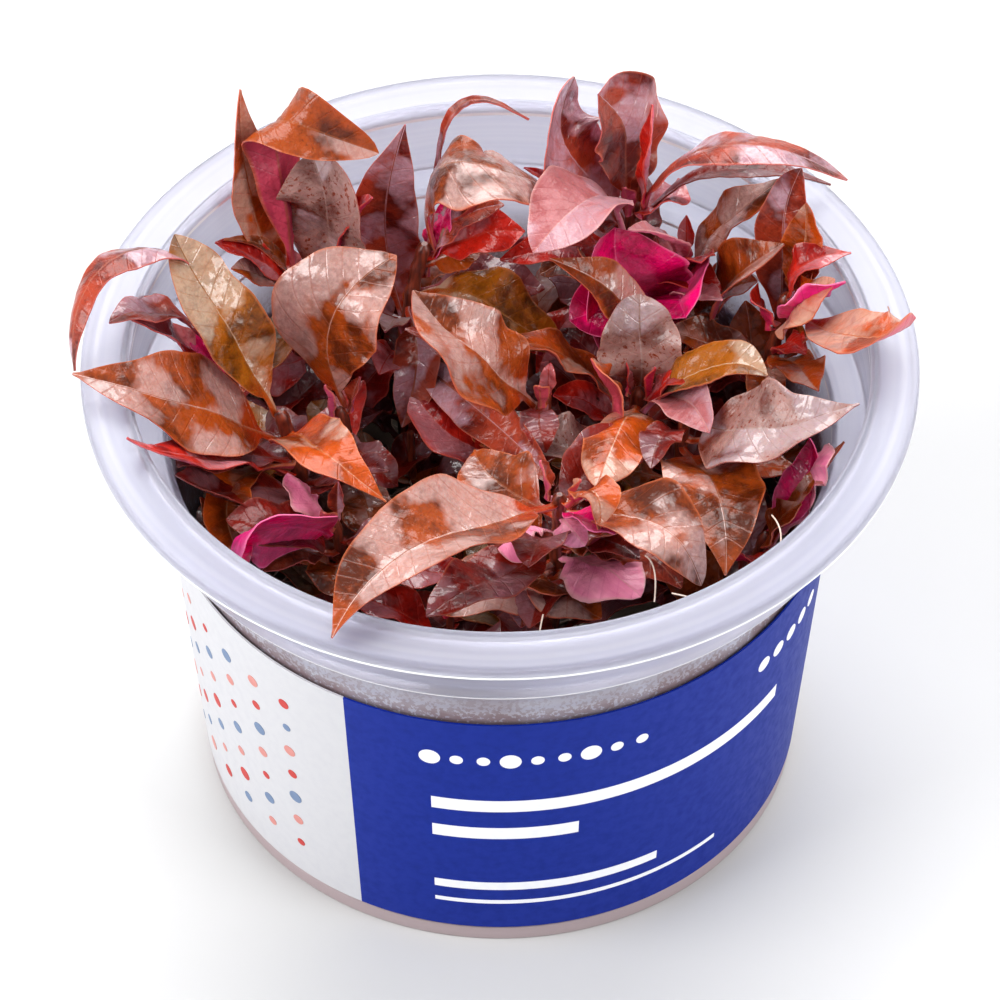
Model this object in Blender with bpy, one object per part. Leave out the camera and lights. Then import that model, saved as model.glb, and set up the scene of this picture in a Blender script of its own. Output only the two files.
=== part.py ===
"""Alternanthera reineckii, grown in vitro, standing in its round plastic cup.

The cup is turned about the Z axis and stands on z = 0. A wrap label goes round its wall, and a pad of
nutrient gel fills its foot. Fourteen stems rise from the gel, and the leaves sit on them in loose whorls,
each one a bent and folded blade on a short stalk. Lengths in the tables are millimetres and angles are
degrees; the objects are made in metres.
"""

import math
from typing import NamedTuple

import bmesh
import bpy
from mathutils import Vector

MM = 0.001
GAP = 0.3
STALK_GAP = 0.45

# The cup, from its rim down
TURNED_SIDES = 56
RIM_RADIUS = 50.0
RIM_HEIGHT = 64.5
FLANGE_THICKNESS = 1.0
LIP_DROP = 1.9
LIP_THICKNESS = 0.8
BEAD_HEIGHT = 0.4
BEAD_WIDTH = 0.8
COLLAR_RADIUS = 45.0
COLLAR_THICKNESS = 0.8
LEDGE_HEIGHT = 54.0
LEDGE_THICKNESS = 0.8
STEP_RADIUS = 41.2
STEP_HEIGHT = 0.5
FOOT_RADIUS = 36.7
WALL_TAPER = 0.0765
WALL_THICKNESS = 0.8
FLOOR_THICKNESS = 1.2
FOOT_ROUND = 1.2

# The label, wrapped round the wall with its seam at the back
LABEL_BOTTOM = 2.5
LABEL_TOP = 44.0
LABEL_THICKNESS = 0.4
LABEL_SEAM_DEG = 16.0
LABEL_SIDES = 56

# The gel, and the stems that stand on it
GEL_TOP = 24.0
STEM_SIDES = 6
STEM_STATIONS = 5
STEM_TIP_SHARE = 0.75

# The blades: shares of the length, and of the half width
STATIONS = (0.0, 0.1, 0.25, 0.45, 0.65, 0.85, 1.0)
ACROSS = (-1.0, -0.5, 0.0, 0.5, 1.0)
STALK_SHARE = 0.1
STALK_HALF_WIDTH = 0.65
TIP_HALF_WIDTH = 0.25
BLADE_THICKNESS = 0.55
MARGIN_THICKNESS = 0.35
FOLD_POWER = 1.5

SMOOTH_ANGLE = math.radians(40.0)


class Stem(NamedTuple):
    """A stem's three guide points and its radius."""

    foot: tuple
    knee: tuple
    top: tuple
    radius: float = 1.0


class Leaf(NamedTuple):
    """One leaf of a stem, from the height where its stalk starts to its tip.

    arch and sway bend the midrib up and sideways, a third and two thirds of the way along, and reach
    shifts the same two guide points along the leaf. widest is where along the blade it is widest, and
    fullness is how round the blade is there.
    """

    node: float
    tip: tuple
    width: float
    tone: str
    arch: tuple = (0.0, 0.0)
    sway: tuple = (0.0, 0.0)
    roll: float = 0.0
    fold: float = 12.0
    widest: float = 0.5
    fullness: float = 0.85
    reach: tuple = (0.0, 0.0)


STEMS = {
    "far_west": Stem((-29, 9, 24.3), (-31, 9, 42), (-34, 10, 57.5), 0.8),
    "west": Stem((-21, 0, 24.3), (-23, 0, 38), (-26.5, 1.5, 53)),
    "inner_west": Stem((-15, 5, 24.3), (-17, 5, 38), (-19.5, 5, 50), 0.9),
    "north_west": Stem((-20, 19, 24.3), (-22, 22, 38), (-25, 25, 52.4)),
    "north": Stem((-11, 18, 24.3), (-14, 22, 42), (-9.3, 24.8, 58.6)),
    "north_east": Stem((13, 23, 24.3), (15, 27, 42), (16.5, 30.5, 60.4)),
    "east_back": Stem((21, 19, 24.3), (22, 23, 40), (23, 27, 54.5), 0.9),
    "east": Stem((29, 13, 24.3), (32, 14, 42), (35, 16, 58.6)),
    "mid_right": Stem((15, 7, 24.3), (16, 8, 38), (17, 7.5, 50.8)),
    "middle": Stem((3, 3, 24.3), (4, 4, 38), (5.5, 4.5, 53)),
    "east_front": Stem((20, -2, 24.3), (21, 0, 38), (22.5, 0.5, 54), 0.9),
    "south": Stem((6, -12, 24.3), (7, -13, 42), (7, -18, 59)),
    "south_west": Stem((-17, -12, 24.3), (-18, -11, 36), (-20, -12, 48.5), 0.9),
    "south_east": Stem((27, -11, 24.3), (29, -12, 36), (32, -12, 46), 0.8),
}

LEAVES = {
    "far_west": (
        Leaf(56.5, (-50.5, -3, 63), 5.5, "mauve", (19, 14), (7.5, 7.5), -15, -10, 0.45, 0.8, (-5, 10)),
    ),
    "west": (
        Leaf(52, (-39, 13, 72), 11.5, "olive", (2.5, 3), (-0.5, -2.5), 0, 12, 0.55, 0.8),
        Leaf(49, (-50.5, -6, 67.5), 14, "brown", (1, 5.5), (0, -6), 15, 12, 0.42, 0.95),
        Leaf(50.5, (-13.5, -15, 55), 9.5, "orange", (5.5, 6), (2.5, 3.5), 0, 18, 0.3, 0.8),
        Leaf(44, (-43.5, -17, 68), 7, "red", (1.5, -1), (3.5, -4.5), 0, 10, 0.45, 0.9),
        Leaf(41, (-38.5, -12.5, 57), 12, "maroon", (2.5, -1), (-1.5, -4)),
    ),
    "inner_west": (
        Leaf(48.5, (-12.5, 14.5, 67), 15, "brown", (3, 10), (-5.5, -4), 0, 10, 0.55),
    ),
    "north_west": (
        Leaf(52.4, (-14.5, 26, 72), 9, "brown", (19, 13), (-2.5, -7), 0, -20, 0.55, 0.8, (2, 17)),
        Leaf(48, (-31.5, 31, 79), 6.5, "orange", (-4.5, -1.5), (-1, -2), 0, 15, 0.45, 0.9),
        Leaf(50, (-23, 28.5, 71), 12.8, "brown", (-3, 3.5), (2, 5), 10, 15, 0.52, 0.75),
    ),
    "north": (
        Leaf(46, (-11.5, 28, 76), 8.5, "brown", (-5, 1.5), (-4, -3), 0, 15, 0.42, 0.9),
        Leaf(58, (5.5, 27, 66.5), 10.5, "mauve", (17, 13), (-4.5, 7), 0, -8, 0.5, 0.8, (0, 6)),
        Leaf(55.5, (3.5, 30, 75), 2.6, "mauve", (4, 12), (-8, -6), 0, 10, 0.5, 0.8, (6, 9)),
        Leaf(52, (8.5, 15, 50), 10, "olive", (11, 3), (4, 2), 0, 12, 0.45, 0.9),
        Leaf(44, (6.5, -9.5, 52), 6.5, "mauve", (3, 3.5), (2, 0.5), -30, 20, 0.5, 0.8),
    ),
    "north_east": (
        Leaf(57.5, (9.5, 35, 75.5), 11, "brown", (-0.5, -4.5), (1, -10.5), 0, 12, 0.5, 0.75),
        Leaf(59.5, (16, 32.5, 77.5), 11, "mauve", (0, 3.5), (1, -2), 0, 12, 0.5, 0.75),
        Leaf(60, (42, 22.5, 72), 7, "mauve", (12, 14.5), (5, 3), 10, -5, 0.5, 0.8, (-1.5, 3)),
        Leaf(56.5, (4, 13, 69), 12, "pink", (9, 9), (1.5, -1), 0, 12, 0.6, 0.95),
    ),
    "east_back": (
        Leaf(45, (14, 22, 64.5), 15.5, "magenta", (-0.5, -4.5), (-2, -4), 80, 25, 0.5, 0.65),
        Leaf(50.5, (34.5, 28, 67), 6.5, "brown", (3, 2.5), (-2.5, 1)),
        Leaf(42, (34.5, 18, 65.5), 9, "brown", (0.5, 4.5), (-2.5, 5), -25, 20, 0.5, 0.8),
    ),
    "east": (
        Leaf(50.5, (36.5, 23.5, 73), 6.8, "mauve", (-1, 0), (0.5, -3), 0, 15, 0.55, 0.75),
        Leaf(58, (42.5, 16, 66), 5.5, "red", (6, 5), (2.5, 0.5), 0, 12, 0.42, 0.9),
        Leaf(56.3, (40.3, 11, 66.5), 8, "orange", (0.5, 0.5), (3, 5), -25, 5, 0.5, 0.7),
        Leaf(53.5, (49.3, 1.5, 68.5), 10.5, "orange", (3, 0.5), (10, 9), -10, 12, 0.5, 0.8),
        Leaf(50, (38.3, 1, 57.5), 6.5, "orange", (1, 2), (-1, 0.5), 0, 12, 0.45),
    ),
    "mid_right": (
        Leaf(49, (6, 14.5, 66.5), 7, "brown", (3, 4.5), (7, 4), 0, 12, 0.45, 0.9),
        Leaf(49.8, (17, 12.5, 62.5), 10.5, "silver", (2, 3), (1, -0.5), 0, 15, 0.55, 0.7),
        Leaf(50.3, (32, 0, 61), 7.5, "olive", (2, 5), (4, -3), -10, 15),
        Leaf(49, (11.5, -14.5, 57), 8.5, "orange", (3.5, 4), (-1, 0), 0, 15, 0.5, 0.75),
        Leaf(43.5, (-1.5, 4.5, 49.5), 8, "silver", (3.5, 5), (-8, -10), 0, 12, 0.5, 0.7),
    ),
    "middle": (
        Leaf(51, (-10.5, 10.5, 65), 14, "brown", (4, 3), (-3.5, -4.5), 0, 12, 0.45),
        Leaf(40, (-10.5, 11.5, 47), 8, "magenta", (5, 2.5), (-5.5, -6.5)),
    ),
    "east_front": (
        Leaf(53, (42.5, -8, 64.5), 14, "silver", (0.5, 2), (4.5, 6), -15, 12, 0.42, 0.8),
        Leaf(49, (26.5, -25, 53), 12, "brown", (3, 8), (-0.5, -2.5), 0, 12, 0.42),
    ),
    "south": (
        Leaf(58, (-19, -47, 66.6), 14, "orange", (4.5, 5.5), (-1, 5.5), 0, 25, 0.4, 0.95),
        Leaf(50, (-8.5, -36, 58), 9, "maroon", (-0.5, 3), (-1.5, -1.5)),
        Leaf(42, (-1.5, -21, 50), 8, "brown", (1, 2), (-4.5, -5)),
        Leaf(56, (23.5, -27.5, 54), 10.5, "brown", (3, 9.5), (-1.5, -1.5), 0, 15, 0.5, 0.75),
        Leaf(46, (16.5, -27.5, 52), 9.5, "pink", (2, 3), (0.5, 0.5), 180, 12, 0.5, 0.7),
    ),
    "south_west": (
        Leaf(47, (-30, -23.5, 52), 12, "magenta", (7, 6), (-4.5, 5), 115, 15, 0.5, 0.7, (2, 9)),
    ),
    "south_east": (
        Leaf(45, (37, -6.5, 57), 5.5, "magenta", (2, -1), (1, 3), 0, 15, 0.5, 0.8),
    ),
}

# Base colour, roughness, transmission
FINISHES = {
    "cup_plastic": ((0.80, 0.80, 0.86), 0.25, 0.7),
    "label_film": ((0.03, 0.08, 0.38), 0.45, 0.0),
    "gel": ((0.55, 0.47, 0.42), 0.35, 0.5),
    "stem": ((0.35, 0.10, 0.05), 0.45, 0.0),
    "mauve": ((0.42, 0.20, 0.18), 0.30, 0.0),
    "olive": ((0.30, 0.15, 0.05), 0.30, 0.0),
    "brown": ((0.27, 0.09, 0.05), 0.30, 0.0),
    "orange": ((0.50, 0.13, 0.03), 0.30, 0.0),
    "red": ((0.42, 0.05, 0.03), 0.30, 0.0),
    "maroon": ((0.10, 0.02, 0.02), 0.30, 0.0),
    "silver": ((0.45, 0.38, 0.38), 0.25, 0.0),
    "pink": ((0.72, 0.30, 0.32), 0.35, 0.0),
    "magenta": ((0.55, 0.02, 0.16), 0.35, 0.0),
}


def clear_scene():
    """Take every object out of the open scene."""
    for item in list(bpy.data.objects):
        bpy.data.objects.remove(item, do_unlink=True)


def make_material(name):
    """Make one plain finish from the table."""
    colour, roughness, transmission = FINISHES[name]
    material = bpy.data.materials.new(name)
    material.use_nodes = True
    shader = material.node_tree.nodes["Principled BSDF"]
    shader.inputs["Base Color"].default_value = (*colour, 1.0)
    shader.inputs["Roughness"].default_value = roughness
    shader.inputs["Transmission Weight"].default_value = transmission
    material.diffuse_color = (*colour, 1.0)
    return material


def skin(name, rings, material, origin=Vector((0.0, 0.0, 0.0))):
    """Bridge a run of closed rings, cap both ends and make the result an object at origin."""
    bm = bmesh.new()
    rows = [[bm.verts.new((Vector(point) - origin) * MM) for point in ring] for ring in rings]
    for row, following in zip(rows, rows[1:]):
        for index, vert in enumerate(row):
            after = (index + 1) % len(row)
            bm.faces.new((vert, row[after], following[after], following[index]))
    bm.faces.new(reversed(rows[0]))
    bm.faces.new(rows[-1])
    bmesh.ops.recalc_face_normals(bm, faces=bm.faces)
    mesh = bpy.data.meshes.new(name)
    bm.to_mesh(mesh)
    bm.free()
    mesh.materials.append(material)
    mesh.shade_smooth()
    mesh.set_sharp_from_angle(angle=SMOOTH_ANGLE)
    item = bpy.data.objects.new(name, mesh)
    item.location = origin * MM
    bpy.context.scene.collection.objects.link(item)
    return item


def circle(radius, height, sides=TURNED_SIDES):
    """The points of a level circle about the Z axis."""
    turns = (2.0 * math.pi * side / sides for side in range(sides))
    return [(radius * math.cos(turn), radius * math.sin(turn), height) for turn in turns]


def wall_radius(height):
    """The cup's outer radius below its ledge."""
    return FOOT_RADIUS + WALL_TAPER * height


def cup_profile():
    """Radius and height along the cup's skin, from its underside round the rim to its floor."""
    under_flange = RIM_HEIGHT - FLANGE_THICKNESS
    lip_bottom = RIM_HEIGHT - LIP_DROP
    collar_inside = COLLAR_RADIUS - COLLAR_THICKNESS
    ledge_bottom = LEDGE_HEIGHT - LEDGE_THICKNESS
    bevel = 0.3 * FOOT_ROUND
    outside = [
        (wall_radius(FOOT_ROUND) - FOOT_ROUND, 0.0),
        (wall_radius(FOOT_ROUND) - bevel, bevel),
        (wall_radius(FOOT_ROUND), FOOT_ROUND),
        (wall_radius(ledge_bottom), ledge_bottom),
        (COLLAR_RADIUS - LEDGE_THICKNESS, ledge_bottom),
        (COLLAR_RADIUS, LEDGE_HEIGHT),
        (COLLAR_RADIUS, under_flange),
        (RIM_RADIUS - LIP_THICKNESS, under_flange),
        (RIM_RADIUS - LIP_THICKNESS, lip_bottom),
        (RIM_RADIUS, lip_bottom),
        (RIM_RADIUS, RIM_HEIGHT - 0.5 * FLANGE_THICKNESS),
        (RIM_RADIUS - 0.5 * FLANGE_THICKNESS, RIM_HEIGHT),
    ]
    inside = [
        (collar_inside + BEAD_WIDTH, RIM_HEIGHT),
        (collar_inside + 0.5 * BEAD_WIDTH, RIM_HEIGHT + BEAD_HEIGHT),
        (collar_inside, RIM_HEIGHT),
        (collar_inside, LEDGE_HEIGHT + LEDGE_THICKNESS),
        (STEP_RADIUS, LEDGE_HEIGHT + STEP_HEIGHT),
        (wall_radius(LEDGE_HEIGHT) - WALL_THICKNESS, LEDGE_HEIGHT),
        (wall_radius(FLOOR_THICKNESS) - WALL_THICKNESS, FLOOR_THICKNESS),
    ]
    return outside + inside


def make_cup(material):
    """The translucent cup: foot, tapered wall, ledge, collar and wide flange."""
    return skin("cup", [circle(radius, height) for radius, height in cup_profile()], material)


def make_label(material):
    """The wrap label, a thin band that follows the wall and stops either side of its seam."""
    seam = math.radians(LABEL_SEAM_DEG)
    start = 0.5 * math.pi + 0.5 * seam
    sweep = 2.0 * math.pi - seam
    rings = []
    for step in range(LABEL_SIDES + 1):
        turn = start + sweep * step / LABEL_SIDES
        ring = []
        for height, out in ((LABEL_BOTTOM, 0.0), (LABEL_BOTTOM, 1.0), (LABEL_TOP, 1.0), (LABEL_TOP, 0.0)):
            radius = wall_radius(height) + GAP + out * LABEL_THICKNESS
            ring.append((radius * math.cos(turn), radius * math.sin(turn), height))
        rings.append(ring)
    return skin("label", rings, material)


def make_gel(material):
    """The pad of nutrient gel in the foot of the cup."""
    bottom = FLOOR_THICKNESS + GAP
    inset = WALL_THICKNESS + GAP
    rings = [circle(wall_radius(height) - inset, height) for height in (bottom, GEL_TOP)]
    return skin("gel", rings, material)


def stem_point(stem, share):
    """A point on the stem's centre line, a share of the way from foot to top."""
    foot, knee, top = Vector(stem.foot), Vector(stem.knee), Vector(stem.top)
    rest = 1.0 - share
    return rest * rest * foot + 2.0 * share * rest * knee + share * share * top


def stem_share(stem, height):
    """The share of the way up the stem at which it reaches a height."""
    low, high = 0.0, 1.0
    for _ in range(30):
        share = 0.5 * (low + high)
        if stem_point(stem, share).z < height:
            low = share
        else:
            high = share
    return low


def make_stem(name, stem, material):
    """One stem, a little thinner at its top."""
    shares = [step / (STEM_STATIONS - 1) for step in range(STEM_STATIONS)]
    rings = []
    for share in shares:
        centre = stem_point(stem, share)
        radius = stem.radius * (1.0 + (STEM_TIP_SHARE - 1.0) * share)
        rings.append([centre + Vector(point) for point in circle(radius, 0.0, STEM_SIDES)])
    return skin(f"stem_{name}", rings, material, Vector(stem.foot))


def leaf_base(leaf, stem):
    """Where the stalk starts: just off the stem's skin, on the side that faces the tip."""
    axis = stem_point(stem, stem_share(stem, leaf.node))
    out = Vector(leaf.tip) - axis
    out.z = 0.0
    return axis + out.normalized() * (stem.radius + STALK_GAP)


def blade_half_width(leaf, share):
    """Half the blade's width a share of the way from stem to tip."""
    along = max(0.0, (share - STALK_SHARE) / (1.0 - STALK_SHARE))
    rise = 2.0 * leaf.fullness * leaf.widest
    fall = 2.0 * leaf.fullness * (1.0 - leaf.widest)
    blade = 0.5 * leaf.width * (along / leaf.widest) ** rise * ((1.0 - along) / (1.0 - leaf.widest)) ** fall
    return max(blade, STALK_HALF_WIDTH + (TIP_HALF_WIDTH - STALK_HALF_WIDTH) * along)


def leaf_ring(leaf, base, share):
    """The closed outline of the leaf's cross-section a share of the way along it."""
    tip = Vector(leaf.tip)
    chord = (tip - base).normalized()
    flat = Vector((chord.x, chord.y, 0.0)).normalized()
    up = Vector((0.0, 0.0, 1.0)) * math.sqrt(1.0 - chord.z ** 2) - flat * chord.z
    side = chord.cross(up)
    guides = [base]
    for third, arch, sway, reach in zip((1, 2), leaf.arch, leaf.sway, leaf.reach):
        guides.append(base.lerp(tip, third / 3.0) + up * arch + side * sway + chord * reach)
    guides.append(tip)
    rest = 1.0 - share
    weights = (rest ** 3, 3.0 * share * rest ** 2, 3.0 * share ** 2 * rest, share ** 3)
    centre = sum((guide * weight for guide, weight in zip(guides, weights)), Vector())
    slopes = (rest ** 2, 2.0 * share * rest, share ** 2)
    legs = [after - before for before, after in zip(guides, guides[1:])]
    along = sum((leg * slope for leg, slope in zip(legs, slopes)), Vector()).normalized()
    side = (side - along * side.dot(along)).normalized()
    normal = side.cross(along)
    roll = math.radians(leaf.roll)
    across = side * math.cos(roll) + normal * math.sin(roll)
    face = normal * math.cos(roll) - side * math.sin(roll)
    fold = math.radians(leaf.fold)
    half = blade_half_width(leaf, share)
    upper, lower = [], []
    for place in ACROSS:
        lift = abs(place) ** FOLD_POWER * math.sin(fold)
        middle = centre + half * (across * place * math.cos(fold) + face * lift)
        thickness = BLADE_THICKNESS + (MARGIN_THICKNESS - BLADE_THICKNESS) * abs(place)
        upper.append(middle + face * 0.5 * thickness)
        lower.append(middle - face * 0.5 * thickness)
    return upper + lower[::-1]


def make_leaf(name, leaf, stem, parent, material):
    """One leaf: its stalk and blade, as a bent and folded solid carried by its stem."""
    base = leaf_base(leaf, stem)
    rings = [leaf_ring(leaf, base, share) for share in STATIONS]
    item = skin(name, rings, material, base)
    item.parent = parent
    item.location = base * MM - parent.location
    return item


def main():
    """Build the cup, its label, the gel, the stems and the leaves."""
    clear_scene()
    materials = {name: make_material(name) for name in FINISHES}
    make_cup(materials["cup_plastic"])
    make_label(materials["label_film"])
    make_gel(materials["gel"])
    for name, stem in STEMS.items():
        parent = make_stem(name, stem, materials["stem"])
        for number, leaf in enumerate(LEAVES[name], 1):
            make_leaf(f"leaf_{name}_{number}", leaf, stem, parent, materials[leaf.tone])


main()
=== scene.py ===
"""The looks of Alternanthera reineckii standing in its round tissue-culture cup.

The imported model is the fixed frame. Around it this script builds the fine leaves, stems, undergrowth and
roots, the moulded cup, its wrap label and the gel, and dresses each in its own procedural material. Lengths
in the tables are millimetres and angles are degrees; every mesh is made in metres, in the frame's place.
"""

from __future__ import annotations

import logging
import math
import random
from collections.abc import Iterable, Sequence
from dataclasses import dataclass
from enum import Enum
from functools import cache

import bmesh
import bpy
import numpy as np
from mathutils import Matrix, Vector


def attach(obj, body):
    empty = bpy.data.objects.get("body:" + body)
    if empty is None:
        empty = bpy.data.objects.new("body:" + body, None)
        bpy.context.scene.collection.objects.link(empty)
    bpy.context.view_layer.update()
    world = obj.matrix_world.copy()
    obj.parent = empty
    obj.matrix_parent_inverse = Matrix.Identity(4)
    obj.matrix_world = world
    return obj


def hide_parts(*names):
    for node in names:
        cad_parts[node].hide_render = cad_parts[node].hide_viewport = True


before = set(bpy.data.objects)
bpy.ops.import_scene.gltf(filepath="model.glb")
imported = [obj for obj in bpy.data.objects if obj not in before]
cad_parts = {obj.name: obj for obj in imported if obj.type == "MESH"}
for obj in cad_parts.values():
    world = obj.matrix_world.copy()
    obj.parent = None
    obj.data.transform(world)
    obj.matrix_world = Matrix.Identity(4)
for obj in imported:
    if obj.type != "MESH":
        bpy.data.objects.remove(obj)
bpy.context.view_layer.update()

MM = 0.001
Point = tuple[float, float, float]
Pair = tuple[float, float]
# How far apart in the noise each leaf's own patch of it lies.
NOISE_STRIDE = 7.3

log = logging.getLogger("alternanthera")


class Tone(Enum):
    """The leaf colours of the plant."""

    MAUVE = "mauve"
    OLIVE = "olive"
    BROWN = "brown"
    ORANGE = "orange"
    RED = "red"
    MAROON = "maroon"
    SILVER = "silver"
    PINK = "pink"
    MAGENTA = "magenta"


@dataclass(frozen=True)
class Stem:
    """A stem's three guide points and its radius, as in the solids."""

    foot: Point
    knee: Point
    top: Point
    radius: float = 1.0

    def at(self, share: float) -> np.ndarray:
        """A point on the centre line, a share of the way from foot to top.

        Args:
            share: 0 at the foot, 1 at the top.

        Returns:
            The point in millimetres.
        """
        foot, knee, top = (np.array(point, float) for point in (self.foot, self.knee, self.top))
        rest = 1.0 - share
        return rest * rest * foot + 2.0 * share * rest * knee + share * share * top

    def share_at(self, height: float) -> float:
        """The share of the way up at which the stem reaches a height.

        Args:
            height: Height above the cup's underside, in millimetres.

        Returns:
            The share, from 0 to 1.
        """
        low, high = 0.0, 1.0
        for _ in range(30):
            share = 0.5 * (low + high)
            if self.at(share)[2] < height:
                low = share
            else:
                high = share
        return low


@dataclass(frozen=True)
class Crease:
    """A place where a blade bends over sharply.

    share is how far along the leaf it lies, skew how far its line is turned from square to the midrib, angle
    how far the part past it is carried to the underside, and radius how tight the bend is.
    """

    share: float
    skew: float
    angle: float
    radius: float = 1.5


@dataclass(frozen=True)
class Leaf:
    """One leaf, from the height on its stem where the stalk starts to its tip.

    arch and sway bend the midrib up and sideways, a third and two thirds of the way along, and reach shifts
    the same two guide points along the leaf. widest is where along the blade it is widest, and fullness is
    how round the blade is there.
    """

    node: float
    tip: Point
    width: float
    tone: Tone
    arch: Pair = (0.0, 0.0)
    sway: Pair = (0.0, 0.0)
    roll: float = 0.0
    fold: float = 12.0
    widest: float = 0.5
    fullness: float = 0.85
    reach: Pair = (0.0, 0.0)
    crease: Crease | None = None


STEMS: dict[str, Stem] = {
    "far_west": Stem((-29, 9, 24.3), (-31, 9, 42), (-34, 10, 57.5), 0.8),
    "west": Stem((-21, 0, 24.3), (-23, 0, 38), (-26.5, 1.5, 53)),
    "inner_west": Stem((-15, 5, 24.3), (-17, 5, 38), (-19.5, 5, 50), 0.9),
    "north_west": Stem((-20, 19, 24.3), (-22, 22, 38), (-25, 25, 52.4)),
    "north": Stem((-11, 18, 24.3), (-14, 22, 42), (-9.3, 24.8, 58.6)),
    "north_east": Stem((13, 23, 24.3), (15, 27, 42), (16.5, 30.5, 60.4)),
    "east_back": Stem((21, 19, 24.3), (22, 23, 40), (23, 27, 54.5), 0.9),
    "east": Stem((29, 13, 24.3), (32, 14, 42), (35, 16, 58.6)),
    "mid_right": Stem((15, 7, 24.3), (16, 8, 38), (17, 7.5, 50.8)),
    "middle": Stem((3, 3, 24.3), (4, 4, 38), (5.5, 4.5, 53)),
    "east_front": Stem((20, -2, 24.3), (21, 0, 38), (22.5, 0.5, 54), 0.9),
    "south": Stem((6, -12, 24.3), (7, -13, 42), (7, -18, 59)),
    "south_west": Stem((-17, -12, 24.3), (-18, -11, 36), (-20, -12, 48.5), 0.9),
    "south_east": Stem((27, -11, 24.3), (29, -12, 36), (32, -12, 46), 0.8),
}

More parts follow.
